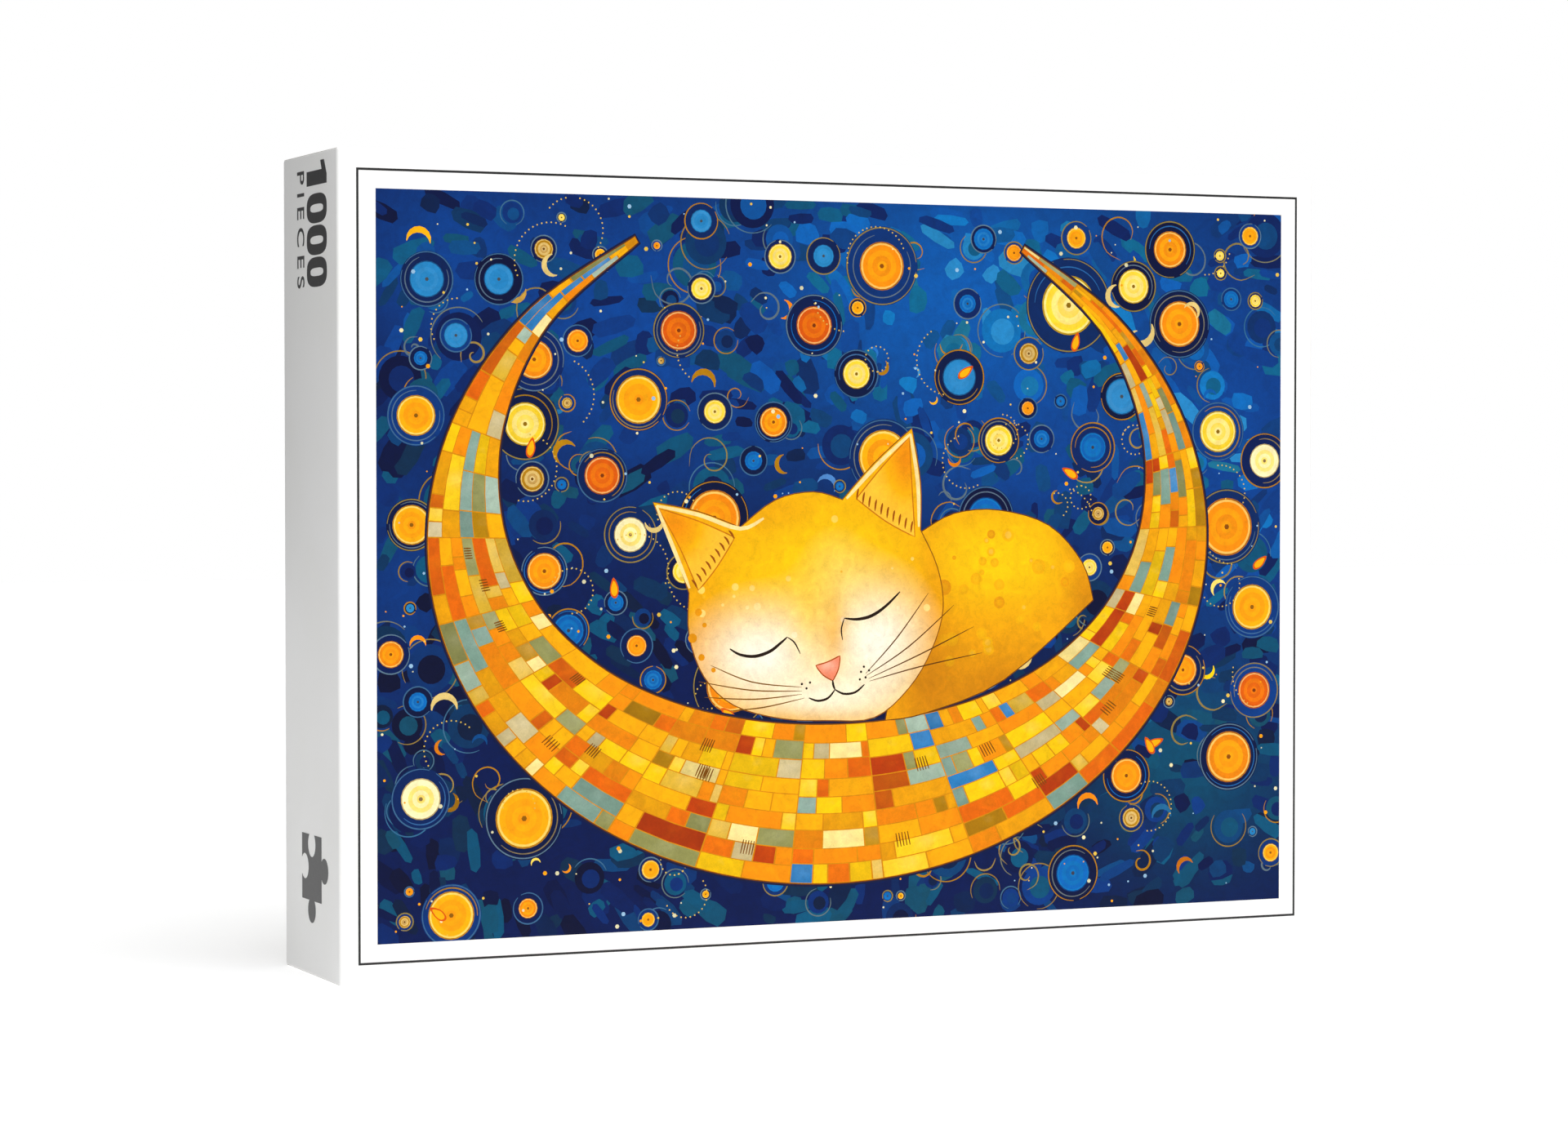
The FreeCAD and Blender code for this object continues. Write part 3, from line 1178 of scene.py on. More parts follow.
@dataclass
class NightPainting:
    """A sleeping cat on a crescent moon of tiles, under a night sky of round lights.

    Its places are millimetres on the lid's face, x from the middle and z up from the bottom edge.
    """

    left: float
    right: float
    bottom: float
    top: float
    inks: list[Ink] = field(default_factory=list)
    chance: random.Random = field(default_factory=lambda: random.Random("painting"))

    dabs: int = 1300
    rounds: int = 110
    scrolls: int = 75
    slivers: int = 46
    ring_tones: tuple[str, ...] = ("#5F7688", "#8C7A48", "#47688A")
    sparks: int = 360
    dotted_arcs: int = 42
    drops: int = 16
    small_moons: int = 14

    moon_middle: Point = (-6, 132)
    moon_reach: Point = (134, 108)  # half its width and half its height, horns and all
    moon_foot: float = 50  # how thick it is at its foot
    moon_horn: float = 2  # and at the tips of its horns
    moon_opening: float = 60  # the angle between its horns, in degrees
    moon_points: int = 17
    edge_steps: int = 8  # how many steps smooth the way between two of them
    outer_edge: Outline = field(init=False)
    inner_edge: Outline = field(init=False)
    outer_line: Outline = field(init=False)
    inner_line: Outline = field(init=False)

    def __post_init__(self) -> None:
        """Works out the crescent's two edges and smooths them."""
        self.outer_edge, self.inner_edge = self.moon_edges()
        self.outer_line = curve(self.outer_edge, self.edge_steps)
        self.inner_line = curve(self.inner_edge, self.edge_steps)

    def moon_edges(self) -> tuple[Outline, Outline]:
        """A crescent moon that lies on its back, thick at its foot and pointed at its two horns.

        Returns:
            Matching points of its outer and inner edges, from the left horn round to the right one.
        """
        outer, inner = [], []
        (x, z), (wide, high) = self.moon_middle, self.moon_reach
        most = 180 - self.moon_opening / 2
        for number in range(self.moon_points):
            turn = math.radians(most) * (2 * number / (self.moon_points - 1) - 1)
            fullness = abs(math.cos(turn * 90 / most)) ** 1.35
            thick = self.moon_horn + (self.moon_foot - self.moon_horn) * fullness
            outer.append((x + wide * math.sin(turn), z - high * math.cos(turn)))
            inner.append((x + (wide - thick) * math.sin(turn), z - (high - thick) * math.cos(turn)))
        return outer, inner

    def add(self, outline: Outline, tone: str, *glows: Glow) -> None:
        """Lays one more ink over the rest.

        Args:
            outline: its outline.
            tone: its hex colour.
            glows: the soft spots in it.
        """
        self.inks.append(Ink(outline, tone, tuple(glows)))

    def near_tone(self, tone: str, amount: float = 0.1) -> str:
        """A tone that is a little lighter or darker.

        Args:
            tone: the hex colour to start from.
            amount: the largest share of white or black in it.

        Returns:
            The new hex colour.
        """
        other = self.chance.choice(("#FFFFFF", "#000000"))
        return mixed(tone, other, self.chance.uniform(0, amount))

    def spot(self, inset: float = 0) -> Point:
        """A place by chance, at least so many millimetres inside the painting's edges."""
        x = self.chance.uniform(self.left + inset, self.right - inset)
        return x, self.chance.uniform(self.bottom + inset, self.top - inset)

    def ground(self) -> Outline:
        """The painting's whole rectangle."""
        left, right, bottom, top = self.left, self.right, self.bottom, self.top
        return [(left, bottom), (right, bottom), (right, top), (left, top)]

    def paint(self) -> None:
        """Lays every ink, from the sky at the back to the cat at the front."""
        royal = "#234C98"
        self.add(
            self.ground(),
            Night.DEEP.value,
            Glow(40, 208, 80, 48, "#2C60AC", 0.95),
            Glow(-70, 195, 50, 45, royal, 0.85),
            Glow(-132, 218, 34, 30, royal, 0.7),
            Glow(140, 160, 40, 70, royal, 0.8),
            Glow(-148, 120, 18, 40, royal, 0.5),
            Glow(60, 160, 40, 26, royal, 0.7),
            Glow(120, 60, 36, 30, Night.TEAL.value, 0.5),
        )
        self.paint_sky()
        self.paint_swirls()
        self.paint_lights()
        self.paint_sparks()
        self.paint_crescent()
        self.paint_cat()

    def sky_tone(self, x: float, z: float) -> str:
        """The sky's tone at a place: brightest at the top towards the right, deepest at the lower left.

        Args:
            x: the place along X, in millimetres.
            z: its height.

        Returns:
            Its hex colour.
        """
        bright = math.exp(-(((x - 45) / 75) ** 2) - ((z - 205) / 55) ** 2)
        bright += 0.75 * math.exp(-(((x - 140) / 35) ** 2) - ((z - 165) / 60) ** 2)
        bright += 0.45 * math.exp(-(((x + 120) / 40) ** 2) - ((z - 215) / 30) ** 2)
        dusk = math.exp(-(((x + 150) / 90) ** 2) - ((z - 20) / 90) ** 2)
        level = 0.2 + min(1.0, bright) * 0.62 - 0.16 * dusk + self.chance.uniform(-0.26, 0.34)
        tones = (Night.INK, Night.DEEP, Night.NAVY, Night.ROYAL, Night.SKY, Night.MIST)
        spot = min(max(level, 0.0), 0.999) * (len(tones) - 1)
        tone = mixed(tones[int(spot)].value, tones[int(spot) + 1].value, spot % 1)
        return mixed(tone, Night.TEAL.value, self.chance.choice((0, 0, 0.15, 0.35, 0.7)))

    def paint_sky(self) -> None:
        """Short broad dabs of blue that follow a slow flow over the whole ground."""
        chance = self.chance
        for _ in range(self.dabs):
            x, z = self.spot()
            flow = noise.noise(Vector((x * 0.018, z * 0.018, 3.1))) * 3.2
            long, short = chance.uniform(3.5, 12), chance.uniform(2.2, 6.2)
            bend = chance.uniform(-0.25, 0.25)
            corners = []
            for across, along in ((-1, -1), (-1, 1), (1, 1), (1, -1)):
                angle = flow + bend * along
                u = along * long / 2 * chance.uniform(0.8, 1.1)
                v = across * short / 2 * chance.uniform(0.75, 1.1)
                corners.append(turned_step((u, v), angle, (x, z)))
            self.add(curve(corners, 2, closed=True), self.sky_tone(x, z))
        for _ in range(self.rounds):
            x, z = self.spot()
            radius = chance.uniform(2.5, 7.5)
            self.add(circle(x, z, radius), self.sky_tone(x, z))
            self.add(circle(x + 0.4, z - 0.3, radius * 0.6), self.sky_tone(x, z))
            rim = arc(x, z, radius * 1.2, chance.uniform(0, 360), chance.uniform(120, 340))
            self.add(stroke(rim, 0.4, 2, 0.4), mixed("#3E6C94", Gold.OCHRE.value, chance.random()))

    def paint_swirls(self) -> None:
        """Thin gold scrolls, arcs and small crescents between the lights."""
        chance = self.chance
        for _ in range(self.scrolls):
            x, z = self.spot(4)
            start, hand = chance.uniform(0, 360), chance.choice((-1, 1))
            size = chance.uniform(2.5, 8.5)
            turns = [
                turned_step((size * (1 - k / 13), 0), math.radians(start + hand * 42 * k), (x, z))
                for k in range(chance.randint(5, 12))
            ]
            tone = chance.choice((Gold.OCHRE.value, "#8C7A4A", "#9C8450", "#5E6E78"))
            self.add(stroke(turns, chance.uniform(0.35, 0.8), 3), tone)
        for _ in range(self.slivers):
            x, z = self.spot(6)
            start, size = chance.uniform(0, 360), chance.uniform(1.4, 4.2)
            outer = arc(x, z, size, start, 200, 9)
            hollow = turned_step((-size * 0.45, 0), math.radians(start + 100), (x, z))
            inner = arc(*hollow, size * 0.95, start + 22, 156, 8)
            tones = (Gold.AMBER, Gold.OCHRE, Gold.ORANGE, Gold.LEMON, Night.MIST, Night.SKY)
            self.add(outer + inner[::-1], self.near_tone(chance.choice(tones).value, 0.3))

    def light(self, x: float, z: float, radius: float, tone: Gold | Night, halo: float) -> None:
        """A round light: a dark halo with a gold ring, then a disc of three or four concentric tones.

        Args:
            x: its middle's place along X, in millimetres.
            z: its middle's height.
            radius: its disc's radius.
            tone: its main tone.
            halo: its halo's radius, as a multiple of the disc's.
        """
        chance = self.chance
        blue = chance.choice((Night.NAVY, Night.ROYAL))
        dark = mixed(Night.INK.value, blue.value, chance.uniform(0.1, 0.9))
        self.add(circle(x, z, radius * halo), dark)
        ring = arc(x, z, radius * (halo - 0.06), chance.uniform(0, 360), 345)
        self.add(stroke(ring, 0.42, 2, 0.5), chance.choice((Gold.OCHRE.value, *self.ring_tones)))
        if radius > 4.4:
            middle = radius * (1 + halo) / 2
            inner_ring = arc(x, z, middle, chance.uniform(0, 360), chance.uniform(150, 330))
            ring_tone = mixed(Night.SKY.value, Gold.OCHRE.value, chance.random())
            self.add(stroke(inner_ring, 0.4, 2, 0.4), ring_tone)
        edge = "#5A3A10" if isinstance(tone, Gold) else "#0A1030"
        self.add(circle(x, z, radius * 1.04), mixed(tone.value, edge, 0.45))
        rims = {
            Gold.CREAM: Gold.LEMON, Gold.LEMON: Gold.CREAM, Gold.AMBER: Gold.ORANGE, Gold.ORANGE: Gold.AMBER,
            Gold.RUST: Gold.ORANGE, Gold.OCHRE: Gold.CREAM,
        }  # fmt: skip
        second = rims.get(tone, Night.MIST)
        pale = Gold.CREAM if isinstance(tone, Gold) else Night.MIST
        self.add(circle(x, z, radius * 0.98), mixed(tone.value, pale.value, 0.6))
        for step, share in enumerate((0.9, 0.68, 0.45, 0.22)):
            shade = (tone, second)[step % 2].value
            warm = mixed(tone.value, shade, 0.45 if step else 0.0)
            soft = Glow(x, z, radius * 0.6, radius * 0.6, second.value, 0.3)
            disc = circle(x + chance.uniform(-0.1, 0.1), z, radius * share)
            self.add(disc, self.near_tone(warm, 0.06), soft)
        self.add(circle(x, z, radius * 0.08 + 0.2, 6), mixed(tone.value, "#402008", 0.6))

    def paint_lights(self) -> None:
        """Lights scattered over the open sky, the largest first, each clear of the others."""
        chance = self.chance
        warm = (Gold.AMBER, Gold.ORANGE, Gold.ORANGE, Gold.LEMON)
        mingled = (Gold.LEMON, Gold.AMBER, Gold.ORANGE, Gold.CREAM, Gold.RUST, Night.SKY, Night.MIST)
        small = (Gold.ORANGE, Gold.LEMON, Gold.AMBER, Gold.OCHRE, Night.SKY, Night.MIST)
        moon = self.outer_line + self.inner_line[::-1]
        placed = []
        sizes = ((15, 7, 9.8, warm), (31, 4.4, 6.6, mingled), (36, 2.6, 4, small), (28, 1, 2.2, small))
        for count, least, most, tones in sizes:
            for _ in range(count * 14):
                radius = chance.uniform(least, most)
                x, z = self.spot(radius)
                clear = all(math.dist((x, z), other) > 1.6 * (radius + reach) for other, reach in placed)
                if clear and not inside(np.array([(x, z)]), moon)[0]:
                    placed.append(((x, z), radius))
                    self.light(x, z, radius, chance.choice(tones), chance.uniform(1.35, 1.75))
                    count -= 1
                if not count:
                    break

    def paint_sparks(self) -> None:
        """Cream specks, dotted arcs, falling drops and small moons."""
        chance = self.chance
        for _ in range(self.sparks):
            x, z = self.spot(1)
            tone = chance.choice(("#F2E6B8", "#E8C46A", "#9FC1DC", "#F7A94A", "#D8D3B0"))
            self.add(circle(x, z, chance.choice((0.25, 0.35, 0.45, 0.7)), 6), tone)
        for _ in range(self.dotted_arcs):
            x, z = self.spot(6)
            radius, start = chance.uniform(3.5, 12), chance.uniform(0, 360)
            gap = 1.55 / radius
            for n in range(chance.randint(8, 22)):
                spot = turned_step((radius, 0), math.radians(start) + n * gap, (x, z))
                if self.left + 1 < spot[0] < self.right - 1 and self.bottom + 1 < spot[1] < self.top - 1:
                    self.add(circle(*spot, 0.28, 5), "#D9B96A")
        for _ in range(self.drops):
            x, z = self.spot(8)
            self.paint_drop(x, z, chance.uniform(-70, 70))
        for _ in range(self.small_moons):
            x, z = self.spot(8)
            size, start = chance.uniform(3, 5), chance.uniform(0, 360)
            outer = arc(x, z, size, start, 200, 11)
            hollow = turned_step((-size * 0.4, 0), math.radians(start + 100), (x, z))
            inner = arc(*hollow, size * 0.92, start + 20, 160, 9)
            self.add(outer + inner[::-1], "#E2C888")

    def paint_drop(self, x: float, z: float, lean: float) -> None:
        """A small pointed leaf in two warm tones.

        Args:
            x: its middle's place along X, in millimetres.
            z: its middle's height.
            lean: how far it leans over to the left, in degrees.
        """
        leaf = ((0, 1.1), (0.42, 0.2), (0.3, -0.55), (0, -0.8), (-0.36, -0.5), (-0.38, 0.25))
        for size, tone in ((3.4, Gold.RUST), (2.5, Gold.AMBER)):
            edge = [turned_step((size * u, size * v), math.radians(lean), (x, z)) for u, v in leaf]
            self.add(curve(edge, 3, closed=True), tone.value)

    def across(self, place: float, share: float) -> Point:
        """A point on the crescent.

        Args:
            place: how far along it is, in points of its edges.
            share: how far across, 0 at the outer edge and 1 at the inner one.

        Returns:
            The point, in millimetres.
        """
        fine = place * self.edge_steps
        n = min(int(fine), len(self.outer_line) - 2)
        t = fine - n
        ends = [
            [line[n][axis] + (line[n + 1][axis] - line[n][axis]) * t for axis in (0, 1)]
            for line in (self.outer_line, self.inner_line)
        ]
        return tuple(a + (b - a) * share for a, b in zip(*ends))

    def paint_crescent(self) -> None:
        """The crescent moon: its dark edge, a warm ground, then rows of small tiles along it."""
        chance = self.chance
        band = self.outer_line + self.inner_line[::-1]
        self.add(self.grown(band, 1.0), "#1A1E3C")
        self.add(self.grown(band, 0.35), Gold.BROWN.value)
        self.add(band, "#D28A2A")
        last = len(self.outer_edge) - 1
        warm = ("#E0641A", "#F58A18", "#F7A824", "#FBCB4C", "#FBE49A")
        cool = ("#8E8E5A", "#7F9C8E", "#9DB3A0", "#4B82B8")
        earthy = ("#B8401A", "#C9B88A", "#B07F2C", "#E0B85C", "#C4581A")
        tones = warm + cool + earthy
        start = 0.15
        while start < last - 0.15:
            n = min(int(start), last - 1)
            a, b = self.outer_edge[n], self.inner_edge[n]
            width = math.dist(a, b)
            end = min(start + 0.75 if width > 20 else start + 1.0, last)
            rows = 9 if width > 36 else 7 if width > 20 else 5 if width > 9 else 3
            sways = [chance.uniform(-0.12, 0.12) if 0 < row < rows else 0 for row in range(rows + 1)]
            edges = [(row + sway) / rows for row, sway in enumerate(sways)]
            for row, (low, high) in enumerate(zip(edges, edges[1:])):
                inwards = row / max(rows - 1, 1)
                faded = 1.6 if width < 24 else 0.8
                weights = [15 - 10 * inwards, 26 - 8 * inwards, 22, 6 + 13 * inwards, 1 + 3 * inwards]
                weights += [share * faded for share in (5, 4, 2.5, 2.5, 3.5, 3, 5, 4, 3)]
                self.paint_row(start, end, low, high, tones, weights)
            start = end
        for _ in range(18):
            place, share = chance.uniform(3, 13), chance.uniform(0.1, 0.8)
            step = chance.uniform(0.02, 0.03)
            for n in range(5):
                line = [self.across(place + n * step, share), self.across(place + n * step, share + 0.09)]
                self.add(stroke(line, 0.45, 2, 0.7), "#7A4A18")

    def paint_row(
        self,
        start: float,
        end: float,
        low: float,
        high: float,
        tones: Sequence[str],
        weights: Sequence[float],
    ) -> None:
        """One row's tiles over a stretch of the crescent.

        Args:
            start: where the stretch begins, in points along the crescent.
            end: where it ends.
            low: the row's outer edge, as a share of the crescent's width.
            high: its inner edge.
            tones: the tiles' tones.
            weights: how common each is.
        """
        chance = self.chance
        seam = 0.03 * (high - low)
        place = start
        while place < end - 0.01:
            long = chance.choice((0.12, 0.18, 0.25, 0.37, 0.5))
            stop = min(place + long, end)
            if end - stop < 0.08:
                stop = end
            gap = min(0.006, (stop - place) * 0.1)
            span = [place + gap, (place + stop) / 2, stop - gap]
            lower = [self.across(p, low + seam) for p in span]
            upper = [self.across(p, high - seam) for p in reversed(span)]
            tone = self.near_tone(chance.choices(tones, weights)[0], 0.12)
            middle = self.across(span[1], (low + high) / 2)
            shine = Glow(middle[0] + 1, middle[1] + 1, 3, 2, mixed(tone, "#FFFFFF", 0.18), 0.6)
            self.add(lower + upper, tone, shine)
            place = stop

    def grown(self, outline: Outline, by: float) -> Outline:
        """An outline made larger or smaller.

        Args:
            outline: the outline.
            by: how far its edge moves outwards, in millimetres; a negative number moves it inwards.

        Returns:
            The new outline.
        """
        count = len(outline)
        area = sum(a[0] * b[1] - b[0] * a[1] for a, b in zip(outline, outline[1:] + outline[:1]))
        hand = 1 if area > 0 else -1
        moved = []
        for n, (x, z) in enumerate(outline):
            ahead, behind = outline[(n + 1) % count], outline[n - 1]
            dx, dz = ahead[0] - behind[0], ahead[1] - behind[1]
            length = math.hypot(dx, dz) or 1.0
            moved.append((x + dz / length * by * hand, z - dx / length * by * hand))
        return moved

    def paint_cat(self) -> None:
        """The curled body, the head laid on it, and its sleeping face."""
        self.paint_body()
        self.paint_head()
        self.paint_ears()
        self.paint_face()

    def paint_body(self) -> None:
        """The curled back behind the head, mottled with soft rings."""
        chance = self.chance
        body = outline_of(
            [(12, 75), (26, 77), (54, 87), (86, 112)],
            [(86, 112), (82, 124), (70, 136), (52, 141), (36, 140), (24, 134)],
            [(24, 134), (18, 104), (12, 75)],
        )
        dark = Glow(56, 82, 34, 14, "#BC7014", 0.75)
        near_head = Glow(27, 96, 9, 34, "#BE7418", 0.7)
        light = Glow(52, 126, 26, 16, "#FFD35C", 0.95)
        edge = Glow(84, 116, 8, 22, "#C4701A", 0.5)
        self.add(self.grown(body, 0.35), "#6E4012")
        self.add(body, "#EFA324", near_head, dark, light, edge)
        for _ in range(46):
            x, z = chance.uniform(30, 80), chance.uniform(86, 138)
            if inside(np.array([(x, z)]), self.grown(body, -4))[0]:
                radius = chance.uniform(0.7, 2.6)
                tone = mixed("#F0A62A", chance.choice(("#FFE08A", "#D98818", "#FFD060")), 0.38)
                shade = (Glow(56, 82, 34, 14, "#BC7014", 0.7), Glow(27, 96, 9, 34, "#BE7418", 0.65))
                self.add(circle(x, z, radius), tone, *shade)
                self.add(circle(x, z, radius * 0.55), mixed(tone, "#FFFFFF", 0.14), *shade)

    def head_glows(self) -> tuple[Glow, ...]:
        """The head's light: gold above, paling towards the brow, with white about the eyes and cheeks.

        Returns:
            Its glows, the pale ones of the face from the sixth to the eighth.
        """
        return (
            Glow(-12, 112, 40, 34, "#FCCB52", 0.9),
            Glow(-52, 104, 9, 26, "#E79A2C", 0.6),
            Glow(30, 112, 7, 26, "#DF8F22", 0.6),
            Glow(-30, 141, 26, 6, "#E9A02A", 0.5),
            Glow(-6, 122, 13, 18, "#FFDE7C", 0.6),
            Glow(-31, 96, 19, 14, "#FFFBEA", 0.95),
            Glow(9, 99, 16, 17, "#FFFBEA", 0.95),
            Glow(-8, 83, 22, 9, "#FFF8E0", 0.9),
            Glow(-14, 110, 6, 12, "#FCCB60", 0.5),
            Glow(-6, 104, 4, 12, "#F0A636", 0.55),
            Glow(-20, 76, 24, 3, "#E2A545", 0.45),
        )

    def paint_head(self) -> None:
        """The round head, its ears' outer shapes included."""
        head = outline_of(
            [(-67, 144), (-60, 129), (-55, 116)],
            [(-55, 116), (-55, 103), (-50, 90), (-40, 81), (-24, 76.5), (-8, 75.5), (8, 76), (20, 85),
             (28, 97), (32, 110), (30, 123), (24, 135)],
            [(24, 135), (24, 150), (21, 167)],
            [(21, 167), (8, 156), (-3, 144.5)],
            [(-3, 144.5), (-13, 147), (-26, 144.5), (-38, 136)],
            [(-38, 136), (-52, 141), (-67, 144)],
        )  # fmt: skip
        self.add(self.grown(head, 0.35), "#8A5218")
        self.add(head, "#F0AE34", *self.head_glows())
        chance = self.chance
        for _ in range(34):
            x = chance.choice((chance.gauss(-50, 4), chance.gauss(-30, 12), chance.gauss(8, 12)))
            z = chance.gauss(118, 11)
            if inside(np.array([(x, z)]), self.grown(head, -3))[0]:
                tone = mixed("#F6C452", chance.choice(("#FFF0B0", "#E79A2C")), 0.35)
                self.add(circle(x, z, chance.uniform(0.4, 1.3)), tone, *self.head_glows()[5:8])
        freckles = ((-52, 110, 1.2), (-54, 102, 1.5), (-50, 106, 0.8), (-51, 96, 1.1), (-47, 92, 0.8))
        for x, z, radius in freckles:
            self.add(circle(x, z, radius), "#E59524")

    def paint_ears(self) -> None:
        """The inner ears in apricot, with short tufts along their feet."""
        left = outline_of(
            [(-65, 142), (-58, 130), (-52, 117)],
            [(-52, 117), (-46, 124), (-40, 133)],
            [(-40, 133), (-52, 138), (-65, 142)],
        )
        right = outline_of(
            [(20, 164), (21, 148), (22, 133)],
            [(22, 133), (12, 138), (2, 145)],
            [(2, 145), (11, 155), (20, 164)],
        )
        left_glow = Glow(-60, 137, 9, 9, "#F0862A", 0.8)
        right_glow = Glow(19, 158, 7, 12, "#F0862A", 0.8)
        for ear, glow in ((left, left_glow), (right, right_glow)):
            self.add(self.grown(ear, 0.4), "#C8741C")
            self.add(ear, "#FBC866", glow)
        for rim in (
            [(-66, 143), (-60.4, 130), (-55, 117.5)],
            [(-66, 143), (-52, 140.2), (-38, 135.8), (-30, 139)],
            [(20.6, 165.4), (9, 155.6), (-1.6, 145)],
            [(20.6, 165.4), (23.2, 150), (23.6, 136)],
        ):
            self.add(stroke(rim, 1.3, 4, 0.5), "#FFE3A4")
        tufts = [((-52.5 + 1.55 * n, 117.5 + 1.9 * n), (-1.8, 2.6)) for n in range(9)]
        tufts += [((20.8 - 2.1 * n, 134.2 + 1.15 * n), (0.6, 3.6)) for n in range(10)]
        for (x, z), (lean, rise) in tufts:
            hair = [(x, z), (x + lean * 0.4, z + rise * 0.6), (x + lean, z + rise)]
            self.add(stroke(hair, 0.7, 2, 0.3), "#9A4E12")

    def paint_face(self) -> None:
        """Closed eyes, nose, mouth and whiskers."""
        dark = "#23160E"
        lids = (
            [(-41.5, 98.5), (-38, 96.6), (-33, 96), (-28, 97.4), (-24.5, 99.8), (-22, 101.8)],
            [(-22, 101.8), (-19.5, 100), (-17.5, 96.4)],
            [(-3, 100.5), (-3.4, 104), (-2.4, 107.4)],
            [(-2.4, 107.4), (2, 107), (7, 108), (12, 111), (17, 115.5)],
        )
        for lid, width in zip(lids, (1.05, 0.5, 0.5, 1.05)):
            self.add(stroke(lid, width, 4, 0.3), dark)
        nose = outline_of(
            [(-12, 92.6), (-8, 93.6), (-4, 95.4)],
            [(-4, 95.4), (-4.6, 91.5), (-6.4, 88)],
            [(-6.4, 88), (-9.6, 89.8), (-12, 92.6)],
        )
        self.add(self.grown(nose, 0.4), "#A8502C")
        self.add(nose, "#F49A80", Glow(-8, 92.6, 2.5, 1.6, "#FFC4AE", 0.8))
        mouth = (
            [(-6.4, 88), (-6.2, 86.4), (-5.6, 85)],
            [(-5.6, 85), (-8, 82.4), (-11.5, 81.6), (-14.6, 82.6)],
            [(-5.6, 85), (-2.6, 83.6), (1.4, 84), (4.6, 86.4)],
        )
        for line in mouth:
            self.add(stroke(line, 0.75, 4, 0.4), dark)
        whiskers = (
            [(-17, 86), (-34, 88), (-48, 93.5)], [(-17, 84.8), (-34, 85.4), (-52, 88.5)],
            [(-17, 83.8), (-33, 82.6), (-50, 83.6)], [(-16, 82.6), (-30, 80), (-42, 79.2)],
            [(5, 89), (20, 98), (36, 111)], [(6, 88.2), (24, 95.5), (43, 104)],
            [(6.4, 87.4), (24, 91.6), (46, 95.6)], [(5, 89.8), (16, 101), (27, 115)],
        )  # fmt: skip
        for number, line in enumerate(whiskers):
            tone = "#5E3A18" if number > 3 else "#7A5424"
            self.add(stroke(line, 0.42, 5, 0.25), tone)
        left_roots = ((-17, 87), (-15.4, 85.6), (-14.2, 87.4))
        right_roots = ((3.4, 90.4), (5, 88.6), (3, 88), (6.2, 90.8), (4.4, 92))
        for x, z in left_roots + right_roots:
            self.add(circle(x, z, 0.42, 6), dark)

    def glow_points(self) -> list[Point]:
        """Places between the cat's outlines where its soft glows need corners.

        Returns:
            The places, close together all over the cat.
        """
        (x, bottom), (right, top), step, sway = (-66, 76), (86, 166), 2.6, 0.3
        spots = []
        while x < right:
            z = bottom + (step / 2 if int(x / step) % 2 else 0)
            while z < top:
                spots.append((x + self.chance.uniform(-sway, sway), z + self.chance.uniform(-sway, sway)))
                z += step
            x += step
        return spots


# ---- the lid's print ------------------------------------------------------------------------------------


